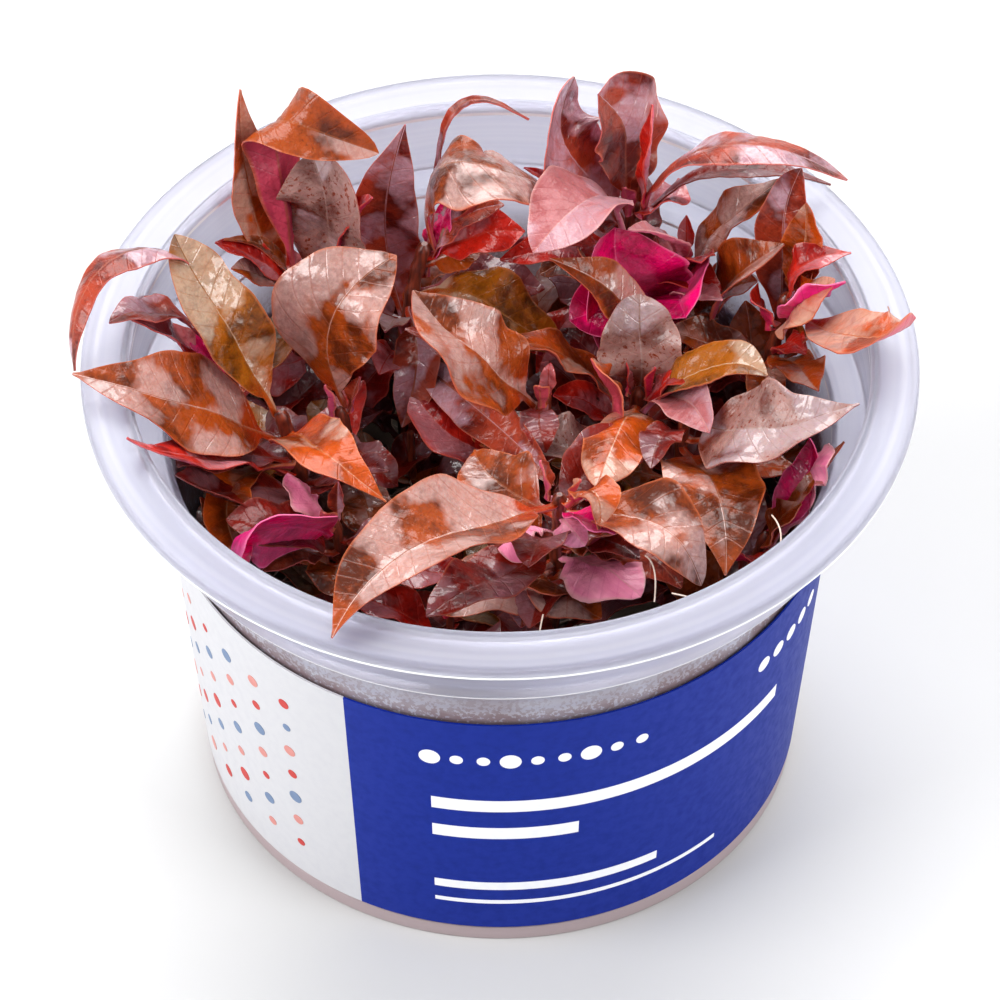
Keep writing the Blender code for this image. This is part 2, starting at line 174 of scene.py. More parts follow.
LEAVES: dict[str, tuple[Leaf, ...]] = {
    "far_west": (
        Leaf(56.5, (-50.5, -3, 65), 5.5, Tone.MAUVE, (19, 14), (7.5, 7.5), -15, -10, 0.45, 0.8, (-5, 10)),
    ),
    "west": (
        Leaf(52, (-39, 13, 72), 10, Tone.OLIVE, (2.5, 3), (-0.5, -2.5), 0, 18, 0.5, 0.75),
        Leaf(49, (-50.5, -6, 67.5), 14, Tone.BROWN, (1, 5.5), (0, -6), 15, 12, 0.42, 0.95),
        Leaf(50.5, (-13.5, -15, 55), 9.5, Tone.ORANGE, (5.5, 6), (2.5, 3.5), 0, 18, 0.3, 0.8),
        Leaf(44, (-43.5, -17, 68), 7, Tone.RED, (1.5, -1), (3.5, -4.5), 0, 10, 0.45, 0.9),
        Leaf(41, (-38.5, -12.5, 57), 12, Tone.MAROON, (2.5, -1), (-1.5, -4)),
    ),
    "inner_west": (
        Leaf(48.5, (-12.5, 14.5, 67), 15, Tone.BROWN, (3, 10), (-5.5, -4), 0, 10, 0.55),
    ),
    "north_west": (
        Leaf(52, (-29.5, 33, 89), 8.4, Tone.BROWN, (1, 1), (0, 0), 180, 16, 0.58, 0.8,
             crease=Crease(0.55, 27, 145, 2.6)),
        Leaf(48, (-31.5, 31, 79), 6.5, Tone.ORANGE, (-4.5, -1.5), (-1, -2), 0, 15, 0.45, 0.9),
        Leaf(50, (-23, 28.5, 71), 12.8, Tone.SILVER, (-3, 3.5), (2, 5), 10, 15, 0.55, 0.6),
    ),
    "north": (
        Leaf(46, (-11.5, 28, 76), 9, Tone.MAUVE, (-5, 1.5), (-4, -3), 0, 15, 0.42, 0.9),
        Leaf(58, (5.5, 27, 66.5), 13, Tone.BROWN, (17, 13), (-4.5, 7), 10, -14, 0.5, 0.7, (0, 6)),
        Leaf(55.5, (3.5, 30, 75), 1.5, Tone.MAUVE, (4, 12), (-8, -6), 0, 10, 0.5, 0.8, (6, 9)),
        Leaf(52, (8.5, 15, 50), 10, Tone.OLIVE, (11, 3), (4, 2), 0, 12, 0.45, 0.9),
        Leaf(44, (6.5, -9.5, 52), 6.5, Tone.MAUVE, (3, 3.5), (2, 0.5), -30, 20, 0.5, 0.8),
    ),
    "north_east": (
        Leaf(57.5, (9, 35, 77.5), 12, Tone.MAUVE, (-0.5, -2), (1, -10.5), 0, 12, 0.55, 0.65),
        Leaf(59.5, (12, 34.5, 75), 13, Tone.MAUVE, (0, 0.5), (2, 4), 0, 14, 0.6, 0.6),
        Leaf(60, (42, 22.5, 72), 7, Tone.MAUVE, (12, 14.5), (5, 3), 10, -5, 0.5, 0.8, (-1.5, 3)),
        Leaf(56.5, (4, 13, 69), 12, Tone.PINK, (9, 9), (1.5, -1), 0, 12, 0.64, 1.1),
    ),
    "east_back": (
        Leaf(45, (14, 22, 64.5), 17, Tone.MAGENTA, (-0.5, -4.5), (-2, -4), 75, 30, 0.55, 0.5),
        Leaf(50.5, (34.5, 28, 67), 6.5, Tone.BROWN, (3, 2.5), (-2.5, 1)),
        Leaf(42, (34.5, 18, 65.5), 9, Tone.BROWN, (0.5, 4.5), (-2.5, 5), -25, 20, 0.5, 0.8),
    ),
    "east": (
        Leaf(50.5, (36.5, 23.5, 73), 6.8, Tone.MAUVE, (-1, 0), (0.5, -3), 0, 15, 0.55, 0.75),
        Leaf(58, (42.5, 16, 66), 5.5, Tone.RED, (6, 5), (2.5, 0.5), 0, 12, 0.42, 0.9),
        Leaf(56.3, (40.3, 11, 66.5), 8, Tone.ORANGE, (0.5, 0.5), (3, 5), -25, 5, 0.5, 0.7),
        Leaf(57, (49.3, 1.5, 69.5), 10.5, Tone.ORANGE, (0, -1), (6.5, 5.5), 0, 14, 0.6, 0.75, (8, 6.5)),
        Leaf(50, (38.3, 1, 57.5), 6.5, Tone.ORANGE, (1, 2), (-1, 0.5), 0, 12, 0.45),
    ),
    "mid_right": (
        Leaf(49, (6, 14.5, 66.5), 7, Tone.BROWN, (3, 4.5), (7, 4), 0, 12, 0.45, 0.9),
        Leaf(49.8, (17, 12.5, 62.5), 10.5, Tone.SILVER, (2, 3), (1, -0.5), 0, 15, 0.5, 0.6),
        Leaf(50.3, (32, 0, 61), 7.5, Tone.OLIVE, (2, 5), (4, -3), -10, 15),
        Leaf(49, (11.5, -14.5, 57), 8.8, Tone.ORANGE, (3.5, 4), (-1, 0), 0, -18, 0.5, 0.7),
        Leaf(43.5, (-1.5, 4.5, 49.5), 8, Tone.SILVER, (3.5, 5), (-8, -10), 0, 12, 0.5, 0.7),
    ),
    "middle": (
        Leaf(51, (-10.5, 10.5, 65), 14, Tone.BROWN, (4, 3), (-3.5, -4.5), 0, 12, 0.45),
        Leaf(40, (-10.5, 11.5, 47), 8, Tone.RED, (5, 2.5), (-5.5, -6.5)),
    ),
    "east_front": (
        Leaf(53, (42.5, -8, 64.5), 12.5, Tone.SILVER, (0.5, 2), (4.5, 6), -15, 12, 0.36, 1.0),
        Leaf(49, (26.5, -25, 53), 12, Tone.BROWN, (3, 8), (-0.5, -2.5), 0, 12, 0.42),
    ),
    "south": (
        Leaf(58, (-19, -47, 66.6), 14, Tone.BROWN, (4.5, 5.5), (-1, 5.5), 0, 25, 0.4, 0.95),
        Leaf(50, (-8.5, -36, 58), 9, Tone.MAROON, (-0.5, 3), (-1.5, -1.5)),
        Leaf(42, (-1.5, -21, 50), 8, Tone.BROWN, (1, 2), (-4.5, -5)),
        Leaf(56, (23.5, -27.5, 54), 10.5, Tone.BROWN, (3, 9.5), (-1.5, -1.5), 0, 15, 0.5, 0.75),
        Leaf(46, (16.5, -27.5, 52), 9.5, Tone.PINK, (2, 3), (0.5, 0.5), 180, 12, 0.5, 0.7),
    ),
    "south_west": (
        Leaf(47, (-30, -23.5, 52), 12, Tone.MAGENTA, (7, 6), (-4.5, 5), 115, 15, 0.5, 0.7, (2, 9)),
    ),
    "south_east": (
        Leaf(45, (37, -6.5, 57), 5.5, Tone.MAGENTA, (2, -1), (1, 3), 0, 15, 0.5, 0.8),
    ),
}


SHOOT_TOPS: dict[str, Point] = {
    "west": (-34.5, -7, 42),
    "front_west": (-26.5, -23, 41),
    "front": (-10, -32, 41),
    "front_east": (8, -33, 40),
    "south_east": (20, -28, 40),
    "east": (36, -2, 41),
    "centre": (-5, -7, 44),
    "inner": (-6, -20, 42),
    "mid": (12, -5, 44),
    "back": (2, 32, 50),
    "mid_back": (4, 19, 47),
    "north_west": (-30, 22, 44),
    "far_east": (27, 21, 44),
    "back_west": (-15, 33, 44),
    "back_east": (13, 33, 44),
    "rim_south": (-1, -35, 37),
    "rim_west": (-35, 9, 38),
    "nook": (-11, 8, 43),
}
SIDE_SHOOTS: dict[str, Stem] = {
    f"shoot_{name}": Stem((0.96 * x, 0.96 * y, 24.3), (0.98 * x, 0.98 * y, 0.5 * z + 11.0), (x, y, z), 0.7)
    for name, (x, y, z) in SHOOT_TOPS.items()
}

LOOSE_ROOTS: tuple[tuple[Point, Point, Point], ...] = (
    ((32, -19.5, 57.5), (35, -25, 58.5), (28.5, -31, 55)),
    ((17, -26, 57.5), (18.5, -28, 58.5), (18, -31, 55)),
    ((20, -31, 56.5), (22, -32, 57), (24, -31, 55)),
    ((5, -33, 55), (4.5, -36, 55), (4, -38, 52)),
    ((-8, -37, 53), (-6, -36, 55), (-2, -38, 53)),
)


EXTRA_LEAVES: dict[str, tuple[Leaf, ...]] = {
    "far_west": (
        Leaf(55, (-46.5, 2.5, 67.5), 6.5, Tone.MAUVE, (4, 3), (2, 3), -10, 10),
        Leaf(50, (-44, 4.5, 66), 8, Tone.RED, (1, 2), (1, 1), 0, 12, 0.35, 0.8),
        Leaf(47, (-38.5, 11, 57), 6, Tone.MAGENTA, (1, 1), (0, 1)),
    ),
    "west": (
        Leaf(46, (-41.5, -9.5, 55), 8, Tone.MAROON, (2, 3), (0, 0), 0, 12),
        Leaf(46, (-30, -21.5, 50), 6, Tone.ORANGE, (4, 4), (6, 7), 0, 20, 0.6, 0.8),
    ),
    "inner_west": (
        Leaf(46, (-12.5, -2, 44), 5.5, Tone.MAROON, (2, 3), (2, 2)),
        Leaf(44, (-20.5, -0.5, 48), 6, Tone.MAROON, (2, 3), (2, 2)),
    ),
    "north_west": (
        Leaf(46, (-34, 24.5, 60), 2.4, Tone.BROWN, (3, 4), (3, 4)),
        Leaf(51, (-35, 24, 60), 5, Tone.RED, (2, 2), (0, 0)),
        Leaf(49, (-33, 21.5, 58), 5.5, Tone.BROWN, (2, 2), (0, 0)),
        Leaf(48, (-15.5, 21.5, 70), 4.5, Tone.RED, (0, 2), (-4, -4)),
    ),
    "north": (
        Leaf(50, (-12, 8, 44), 6, Tone.MAUVE, (3, 5), (-2, -2)),
        Leaf(54, (-6, 30.5, 62), 4.5, Tone.MAGENTA, (2, 2), (2, 1), 30, 10),
        Leaf(47, (-14, 12.5, 56), 4, Tone.SILVER, (2, 2), (0, 0)),
        Leaf(57, (3, 26, 60), 7, Tone.RED, (3, 3), (1, 1), -20, 15),
        Leaf(52, (5.5, 23, 53), 8, Tone.MAROON, (3, 3), (1, 1), 0, 12),
        Leaf(56, (-2.5, 25.5, 58), 6, Tone.BROWN, (2, 2), (2, 1), -20, 12),
        Leaf(54, (0.5, 26.5, 64), 6, Tone.MAUVE, (3, 3), (-2, -2), 0, 12),
    ),
    "north_east": (
        Leaf(58.5, (18.5, 30.5, 77), 4, Tone.RED, (1, 1), (3, 3)),
        Leaf(58.5, (40.5, 28, 66), 5, Tone.MAROON, (9, 9), (2, 2), 15, 10),
        Leaf(57, (23.5, 29.5, 62), 8, Tone.RED, (3, 3), (-1, 0), 20, 10, 0.6, 0.7),
        Leaf(50, (3, 31, 66), 2.8, Tone.RED, (0, 0), (4, 4), 0, 25),
        Leaf(48, (12.5, 21, 58), 7, Tone.OLIVE, (2, 3), (2, 3)),
        Leaf(57, (7.5, 26, 59), 7, Tone.MAROON, (3, 3), (1, 1), 0, 15),
        Leaf(52, (5, 25.5, 53), 8, Tone.BROWN, (2, 3), (0, 0), 0, 12),
        Leaf(55, (0, 23, 58), 5, Tone.RED, (2, 2), (-1, -1), 20, 12),
    ),
    "east_back": (
        Leaf(52, (24.5, 18.5, 62), 6, Tone.RED, (2, 2), (0, 0)),
        Leaf(49, (27, 14, 60), 5, Tone.PINK, (2, 2), (2, 2)),
        Leaf(48, (8.5, 13.5, 57), 13, Tone.MAGENTA, (4, 4), (-2, -2), 30, 20, 0.5, 0.6),
        Leaf(49, (22.5, 11, 60), 11, Tone.MAGENTA, (3, 3), (1, 1), -30, 20, 0.55, 0.6),
        Leaf(53, (15.5, 17, 69), 4.5, Tone.PINK, (3, 3), (-1, -2), 0, 20),
    ),
    "east": (
        Leaf(57, (37, 19.5, 71), 5.5, Tone.ORANGE, (0, 0), (1, 1)),
        Leaf(57.5, (38, 17, 62), 5.5, Tone.ORANGE, (2, 2), (0, 1), 20, 15),
        Leaf(56, (41.5, 10, 67), 6, Tone.MAGENTA, (0, 2), (3, 3), 30, 10, 0.5, 0.7),
        Leaf(54, (30.5, 14, 60), 6, Tone.RED, (1, 1), (1, 0)),
        Leaf(51, (37.5, 10.5, 54), 6, Tone.RED, (2, 2), (0, 0)),
        Leaf(50, (33, 3.5, 50), 5, Tone.ORANGE, (2, 2), (1, 1)),
    ),
    "mid_right": (
        Leaf(50, (25, 5.5, 57), 6.5, Tone.RED, (2, 2), (2, 1)),
        Leaf(48.5, (25, -5.5, 57), 6.5, Tone.PINK, (4, 3), (-2, -2), -20, 20, 0.5, 0.7),
        Leaf(47, (11, 5, 59), 9, Tone.ORANGE, (-1, 0), (-3, -4), 10, 12, 0.55, 0.75),
        Leaf(46, (0.5, 9.5, 57), 7.5, Tone.ORANGE, (2, 3), (2, 3), -20, 10),
        Leaf(44, (6.5, 7.5, 50), 6, Tone.RED, (1, 1), (1, 1)),
        Leaf(42, (7.5, 19, 50), 8, Tone.MAROON, (3, 3), (1, 1), 0, 12),
    ),
    "middle": (
        Leaf(52, (5.5, -4, 52), 5, Tone.MAROON, (2, 3), (1, 1)),
        Leaf(46, (-11.5, 9, 60), 5, Tone.MAUVE, (3, 3), (2, 2)),
    ),
    "east_front": (
        Leaf(50, (36, -6.5, 58), 5, Tone.ORANGE, (1, 1), (1, 1)),
        Leaf(52, (18, -10.5, 56), 5, Tone.MAROON, (2, 3), (1, 1)),
        Leaf(45, (36, -5, 50), 6, Tone.ORANGE, (2, 2), (1, 1)),
    ),
    "south": (
        Leaf(58.5, (11.5, -23.5, 59), 6.5, Tone.ORANGE, (3, 5), (-2, -3), 10, 15, 0.4, 0.85),
        Leaf(56, (13.5, -23, 58), 5.5, Tone.MAGENTA, (2, 2), (1, 1), 20, 15),
        Leaf(55, (10, -23, 56), 4.5, Tone.PINK, (2, 2), (1, 1), 160, 15, 0.5, 0.6),
        Leaf(54, (-3, -7.5, 56), 9.5, Tone.BROWN, (2, 3), (-3, -4), 10, 12, 0.4, 0.9),
        Leaf(52, (2.5, -26.5, 57), 5.5, Tone.PINK, (2, 2), (3, 4), 150, 20, 0.5, 0.7),
        Leaf(44, (-8, -25, 47), 9, Tone.BROWN, (2, 2), (-2, -2), 10, 12),
        Leaf(43, (12, -25.5, 46), 9, Tone.BROWN, (2, 2), (3, 3), 0, 12),
        Leaf(42, (2.5, -26, 45), 8, Tone.MAUVE, (1, 2), (0, 1), 0, 12),
        Leaf(48, (21.5, -22.5, 48), 8, Tone.MAUVE, (2, 3), (-2, -2), 0, 15),
        Leaf(50, (16.5, -21.5, 52), 6, Tone.MAROON, (2, 3), (0, 0), 0, 15),
    ),
    "south_west": (
        Leaf(47, (-25.5, -7.5, 52), 5.5, Tone.PINK, (3, 2), (-1, -1), 150, 15, 0.5, 0.7),
        Leaf(43, (-28.5, -18, 46), 6, Tone.MAUVE, (1, 2), (1, 1)),
        Leaf(46, (-32.5, -16, 53), 9, Tone.MAROON, (2, 3), (-3, -3), 0, 12, 0.5, 0.75),
        Leaf(45, (-12, -16, 46), 7, Tone.MAROON, (3, 3), (0, 0), 0, 12),
        Leaf(42, (-19, -19.5, 43), 7, Tone.BROWN, (1, 2), (1, 1), 0, 12),
    ),
    "south_east": (
        Leaf(43, (38.5, -14, 60), 8, Tone.PINK, (1, 0), (-5, -6), 160, 20, 0.5, 0.6),
        Leaf(44, (41, -8, 58), 2.2, Tone.BROWN, (2, 3), (1, 2)),
        Leaf(44, (36, -12.5, 52), 6, Tone.ORANGE, (2, 2), (1, 1)),
        Leaf(42, (31.5, -16.5, 46), 5, Tone.RED, (1, 1), (1, 1)),
    ),
}


def from_hex(code: str) -> tuple[float, float, float, float]:
    """Turn an sRGB hex colour to Blender's linear colour.

    Args:
        code: Six hex digits.

    Returns:
        Red, green, blue and alpha, linear.
    """
    parts = [int(code[start:start + 2], 16) / 255.0 for start in (0, 2, 4)]
    linear = [part / 12.92 if part <= 0.04045 else ((part + 0.055) / 1.055) ** 2.4 for part in parts]
    return (*linear, 1.0)


def fill(tree: bpy.types.NodeTree, node: bpy.types.Node, inputs: dict | Sequence) -> bpy.types.Node:
    """Set or link a node's sockets.

    Args:
        tree: The node's tree.
        node: The node.
        inputs: Socket name or number to its value, or the values in the sockets' order. A value may be a
            number or a colour, another node's socket, or another node, for its first output in use.

    Returns:
        The node.
    """
    for key, value in inputs.items() if isinstance(inputs, dict) else enumerate(inputs):
        if isinstance(value, bpy.types.Node):
            value = next(socket for socket in value.outputs if socket.enabled)
        if isinstance(value, bpy.types.NodeSocket):
            tree.links.new(value, node.inputs[key])
        else:
            node.inputs[key].default_value = value
    return node


def add_node(tree: bpy.types.NodeTree, kind: str, inputs: dict | Sequence = (), **settings) -> bpy.types.Node:
    """Add a node, set its properties, and fill or link its sockets.

    Args:
        tree: The node tree that gets the node.
        kind: The node's type name.
        inputs: What fill() takes.
        **settings: The node's own properties.

    Returns:
        The new node.
    """
    node = tree.nodes.new(kind)
    for name, value in settings.items():
        setattr(node, name, value)
    return fill(tree, node, inputs)


def link(name: str, mesh: bpy.types.Mesh) -> bpy.types.Object:
    """Make an object of a mesh and link it to the scene."""
    item = bpy.data.objects.new(name, mesh)
    bpy.context.scene.collection.objects.link(item)
    return item


def settle(piece: bpy.types.Object, solid: str = "") -> bpy.types.Object:
    """Fix a piece to the one body, and let it stand for its solid.

    Args:
        piece: The piece.
        solid: The solid's node, if it has one.

    Returns:
        The piece.
    """
    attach(piece, "root")
    if solid:
        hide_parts(solid)
    return piece


def circle(radius: float, height: float, sides: int) -> list[Point]:
    """The points of a level ring round the cup's axis."""
    turns = (math.tau * side / sides for side in range(sides))
    return [(radius * math.cos(turn), radius * math.sin(turn), height) for turn in turns]


def loft(name: str, runs: Iterable[Sequence[Sequence[Point]]], materials: Iterable[bpy.types.Material],
         sharp_deg: float, slots: Sequence[int] = ()) -> bpy.types.Object:
    """Skin runs of closed rings, each capped at both ends, as one object.

    Args:
        name: The object's name.
        runs: Each run's rings of points, in millimetres.
        materials: The materials, in the order of their slots.
        sharp_deg: The angle past which an edge is shaded sharp.
        slots: The material's number for each stretch between two rings, where it isn't always 0.

    Returns:
        The object, linked to the scene.
    """
    bm = bmesh.new()
    for run in runs:
        rings = [[bm.verts.new([value * MM for value in point]) for point in ring] for ring in run]
        for stretch, (ring, after) in enumerate(zip(rings, rings[1:])):
            for index in range(len(ring)):
                following = (index + 1) % len(ring)
                face = bm.faces.new((ring[index], ring[following], after[following], after[index]))
                face.material_index = slots[stretch] if slots else 0
        for ring in (rings[0], rings[-1]):
            bm.faces.new(ring)
    bmesh.ops.recalc_face_normals(bm, faces=bm.faces)
    mesh = bpy.data.meshes.new(name)
    bm.to_mesh(mesh)
    bm.free()
    for material in materials:
        mesh.materials.append(material)
    mesh.shade_smooth()
    mesh.set_sharp_from_angle(angle=math.radians(sharp_deg))
    return link(name, mesh)


class Surface:
    """A material in the making: its node tree, an even ground colour, and coats of colour over it."""

    def __init__(self, name: str, ground: str) -> None:
        """Start on the ground colour."""
        self.material = bpy.data.materials.new(name)
        self.material.use_nodes = True
        self.tree = self.material.node_tree
        self.ground = ground
        self.coats: list[tuple[bpy.types.Node, str]] = []

    def add(self, kind: str, inputs: dict | Sequence = (), **settings) -> bpy.types.Node:
        """Add a node to the tree, as add_node() does."""
        return add_node(self.tree, kind, inputs, **settings)

    def coat(self, mask: bpy.types.Node, colour: str) -> None:
        """Lay a colour over what is there, wherever the mask is 1."""
        self.coats.append((mask, colour))

    def finish(self, inputs: dict) -> bpy.types.Material:
        """Paint the coats in their order, and set or link the shader's other sockets.

        Args:
            inputs: The shader's socket names to what fill() takes.

        Returns:
            The material.
        """
        colour = from_hex(self.ground)
        for mask, coat in self.coats:
            layers = {"Factor": mask, 6: colour, 7: from_hex(coat)}
            colour = self.add("ShaderNodeMix", layers, data_type="RGBA")
        fill(self.tree, self.tree.nodes["Principled BSDF"], {"Base Color": colour, **inputs})
        return self.material


class BladeSurface(Surface):
    """A leaf's material in the making, which knows where each point lies on its blade.

    blade is millimetres across and along, with the leaf's own number. off is millimetres from the rib, side
    the same with its sign, and along millimetres from the stalk. share runs from 0 at the stalk to 1 at the
    tip, and out from 0 at the rib to 1 at either margin.
    """

    def __init__(self, name: str, ground: str) -> None:
        """Start on the ground colour and read the blade's measures."""
        super().__init__(name, ground)
        self.blade = self.add("ShaderNodeAttribute", attribute_name="blade_mm").outputs["Vector"]
        measures = self.add("ShaderNodeSeparateXYZ", (self.blade,))
        shares = self.add("ShaderNodeSeparateXYZ", (self.add("ShaderNodeUVMap", uv_map="blade"),))
        self.side, self.along = measures.outputs["X"], measures.outputs["Y"]
        self.off = self.add("ShaderNodeMath", (self.side,), operation="ABSOLUTE")
        self.share = shares.outputs["Y"]
        centred = self.add("ShaderNodeMath", (shares.outputs["X"], 2.0, -1.0), operation="MULTIPLY_ADD")
        self.out = self.add("ShaderNodeMath", (centred,), operation="ABSOLUTE")


@dataclass(frozen=True)
class LeafFinish:
    """The living skin of one tone of leaf: a thin waxy cuticle, wet from the cup, over red-pigmented tissue.

    The wet cuticle gives broad soft highlights, and pale patches of painted sheen lie over the darker tissue.
    """

    body: str
    deep: str
    flush: str
    rib: str
    margin: str
    under: str
    under_deep: str
    painted_sheen_colour: str
    painted_sheen_share: float = 0.74
    coat: float = 1.0
    silver_sheen: float = 0.0
    silver_sheen_colour: str = "AC9894"
    blotch_mm: float = 6.0
    painted_sheen_mm: float = 12.0
    halves_apart_mm: float = 17.0
    vein_gap_mm: float = 2.3
    vein_lean: float = 0.75
    rib_half_mm: float = 0.2

    def upper(self, name: str) -> bpy.types.Material:
        """The upper side: mottled colour, paler rib, veins and margin, patches of painted sheen, and a wet,
        slightly quilted cuticle.

        Args:
            name: The tone's name.

        Returns:
            The material.
        """
        skin = BladeSurface(f"leaf_cuticle_{name}_upper", self.body)
        add = skin.add
        blotches = add("ShaderNodeTexNoise", {
            "Vector": skin.blade, "Scale": 1.0 / self.blotch_mm, "Detail": 5.0, "Roughness": 0.62,
        })
        # A leaf's cells are far finer. Specks of about half a millimetre are the finest that still show.
        specks = add("ShaderNodeTexNoise", {
            "Vector": skin.blade, "Scale": 1.6, "Detail": 3.0, "Roughness": 0.7,
        })
        rib, veins, painted_sheen = self.midrib(skin), self.side_veins(skin), self.painted_sheen(skin, specks)
        skin.coat(add("ShaderNodeMapRange", (blotches, 0.42, 0.58, 0.0, 0.95)), self.deep)
        skin.coat(add("ShaderNodeMapRange", (skin.share, 0.04, 0.26, 0.85, 0.0)), self.flush)
        skin.coat(add("ShaderNodeMapRange", (specks, 0.56, 0.72, 0.0, 0.55)), self.deep)
        skin.coat(rib, self.rib)
        # Pale patches of painted sheen, which stand in for the wet cuticle's reflections.
        skin.coat(painted_sheen, self.painted_sheen_colour)
        skin.coat(add("ShaderNodeMath", (veins, 0.3), operation="MULTIPLY"), self.body)
        skin.coat(add("ShaderNodeMapRange", (skin.out, 0.93, 1.0, 0.0, 0.7)), self.margin)
        # Silver leaves get a grey painted sheen in pitted patches, kept off the stalk end.
        if self.silver_sheen > 0.0:
            sheen_patch = add("ShaderNodeMapRange", (blotches, 0.66, 0.46, 0.0, self.silver_sheen))
            pits = add("ShaderNodeMapRange", (specks, 0.63, 0.56, 0.0, 1.0))
            inward = add("ShaderNodeMapRange", (skin.share, 0.12, 0.34, 0.1, 1.0))
            pitted = add("ShaderNodeMath", (pits, inward), operation="MULTIPLY")
            skin.coat(add("ShaderNodeMath", (sheen_patch, pitted), operation="MULTIPLY"), self.silver_sheen_colour)
        bare = 0.25 * self.coat
        return skin.finish({
            "Roughness": add("ShaderNodeMapRange", (painted_sheen, 0.0, self.painted_sheen_share, 0.3, 0.4)),
            "Coat Weight": add("ShaderNodeMapRange", (painted_sheen, 0.0, self.painted_sheen_share, bare, self.coat)),
            "IOR": 1.3, "Coat Roughness": 0.13, "Coat IOR": 1.6,
            "Subsurface Weight": 0.12, "Subsurface Radius": (1.0, 0.22, 0.1), "Subsurface Scale": 1.2 * MM,
            **self.relief(skin, veins, rib),
        })

    def lower(self, name: str) -> bpy.types.Material:
        """The underside: pinker and satin, with raised veins.

        Args:
            name: The tone's name.

        Returns:
            The material.
        """
        skin = BladeSurface(f"leaf_cuticle_{name}_underside", self.under)
        add = skin.add
        drawn = add("ShaderNodeVectorMath", (skin.blade, (1.0, 0.22, 1.0)), operation="MULTIPLY")
        streaks = add("ShaderNodeTexNoise", {"Vector": drawn, "Scale": 0.55, "Detail": 4.0})
        rib, veins = self.midrib(skin), self.side_veins(skin)
        skin.coat(add("ShaderNodeMapRange", (streaks, 0.38, 0.66, 0.0, 0.9)), self.under_deep)
        skin.coat(add("ShaderNodeMath", (veins, 0.35), operation="MULTIPLY"), self.under_deep)
        skin.coat(rib, self.rib)
        skin.coat(add("ShaderNodeMapRange", (skin.out, 0.84, 0.99, 0.0, 0.7)), self.margin)
        return skin.finish({
            "Roughness": 0.42, "IOR": 1.42, "Coat Weight": 0.35, "Coat Roughness": 0.2,
            **self.relief(skin, veins, rib),
        })

    def painted_sheen(self, skin: BladeSurface, grain: bpy.types.Node) -> bpy.types.Node:
        """Where the painted sheen lies: broad pale patches that end at the rib, and a fine grain in them.

        Args:
            skin: The leaf's material in the making.
            grain: A fine noise.

        Returns:
            A mask of painted sheen, as high as the sheen's share where it is strongest.
        """
        other_half = skin.add("ShaderNodeMapRange", (skin.side, -0.15, 0.15, 0.0, self.halves_apart_mm))
        apart = skin.add("ShaderNodeCombineXYZ", (0.0, other_half))
        spot = skin.add("ShaderNodeVectorMath", (skin.blade, apart), operation="ADD")
        broad = skin.add("ShaderNodeTexNoise", {
            "Vector": spot, "Scale": 1.0 / self.painted_sheen_mm, "Detail": 4.0, "Roughness": 0.52,
        })
        sheen_patch = skin.add("ShaderNodeMapRange", (broad, 0.505, 0.56, 0.0, self.painted_sheen_share))
        fine = skin.add("ShaderNodeMapRange", (grain, 0.4, 0.58, 0.72, 1.0))
        return skin.add("ShaderNodeMath", (sheen_patch, fine), operation="MULTIPLY")

    def side_veins(self, skin: BladeSurface) -> bpy.types.Node:
        """A mask of thin side veins that leave the rib every few millimetres and lean toward the tip.

        Args:
            skin: The leaf's material in the making.

        Returns:
            The mask, 1 on a vein.
        """
        lean = skin.add("ShaderNodeMath", (skin.off, -self.vein_lean, skin.along), operation="MULTIPLY_ADD")
        wave = skin.add("ShaderNodeMath", (lean, 0.5 * self.vein_gap_mm), operation="PINGPONG")
        return skin.add("ShaderNodeMapRange", (wave, 0.16, 0.0, 0.0, 1.0))

    def midrib(self, skin: BladeSurface) -> bpy.types.Node:
        """A mask of the midrib, narrower toward the tip.

        Args:
            skin: The leaf's material in the making.

        Returns:
            The mask, at its highest on the rib.
        """
        half = skin.add("ShaderNodeMapRange", (skin.share, 0.1, 1.0, self.rib_half_mm, 0.06))
        share = skin.add("ShaderNodeMath", (skin.off, half), operation="DIVIDE")
        return skin.add("ShaderNodeMapRange", (share, 1.5, 0.6, 0.0, 0.42))

    @staticmethod
    def relief(skin: BladeSurface, veins: bpy.types.Node, rib: bpy.types.Node) -> dict[str, bpy.types.Node]:
        """Bump from the veins, the rib and the swells of a soft blade, for the skin and the water film on it.

        Args:
            skin: The leaf's material in the making.
            veins: The side veins' mask.
            rib: The midrib's mask.

        Returns:
            The shader's normal sockets to their bumps. The film lies smoother than the skin.
        """
        lines = skin.add("ShaderNodeMath", (veins, rib), operation="MAXIMUM")
        swells = skin.add("ShaderNodeTexNoise", {"Vector": skin.blade, "Scale": 0.22, "Detail": 2.0})
        grain = skin.add("ShaderNodeTexNoise", {"Vector": skin.blade, "Scale": 2.0, "Detail": 2.0})
        height = skin.add("ShaderNodeMath", (lines, -0.03, swells), operation="MULTIPLY_ADD")
        bumps = {}
        for socket, share in (("Normal", 0.12), ("Coat Normal", 0.03)):
            rough = skin.add("ShaderNodeMath", (grain, share, height), operation="MULTIPLY_ADD")
            bumps[socket] = skin.add("ShaderNodeBump", {
                "Height": rough, "Strength": 0.8, "Distance": 1.4 * MM,
            })
        return bumps


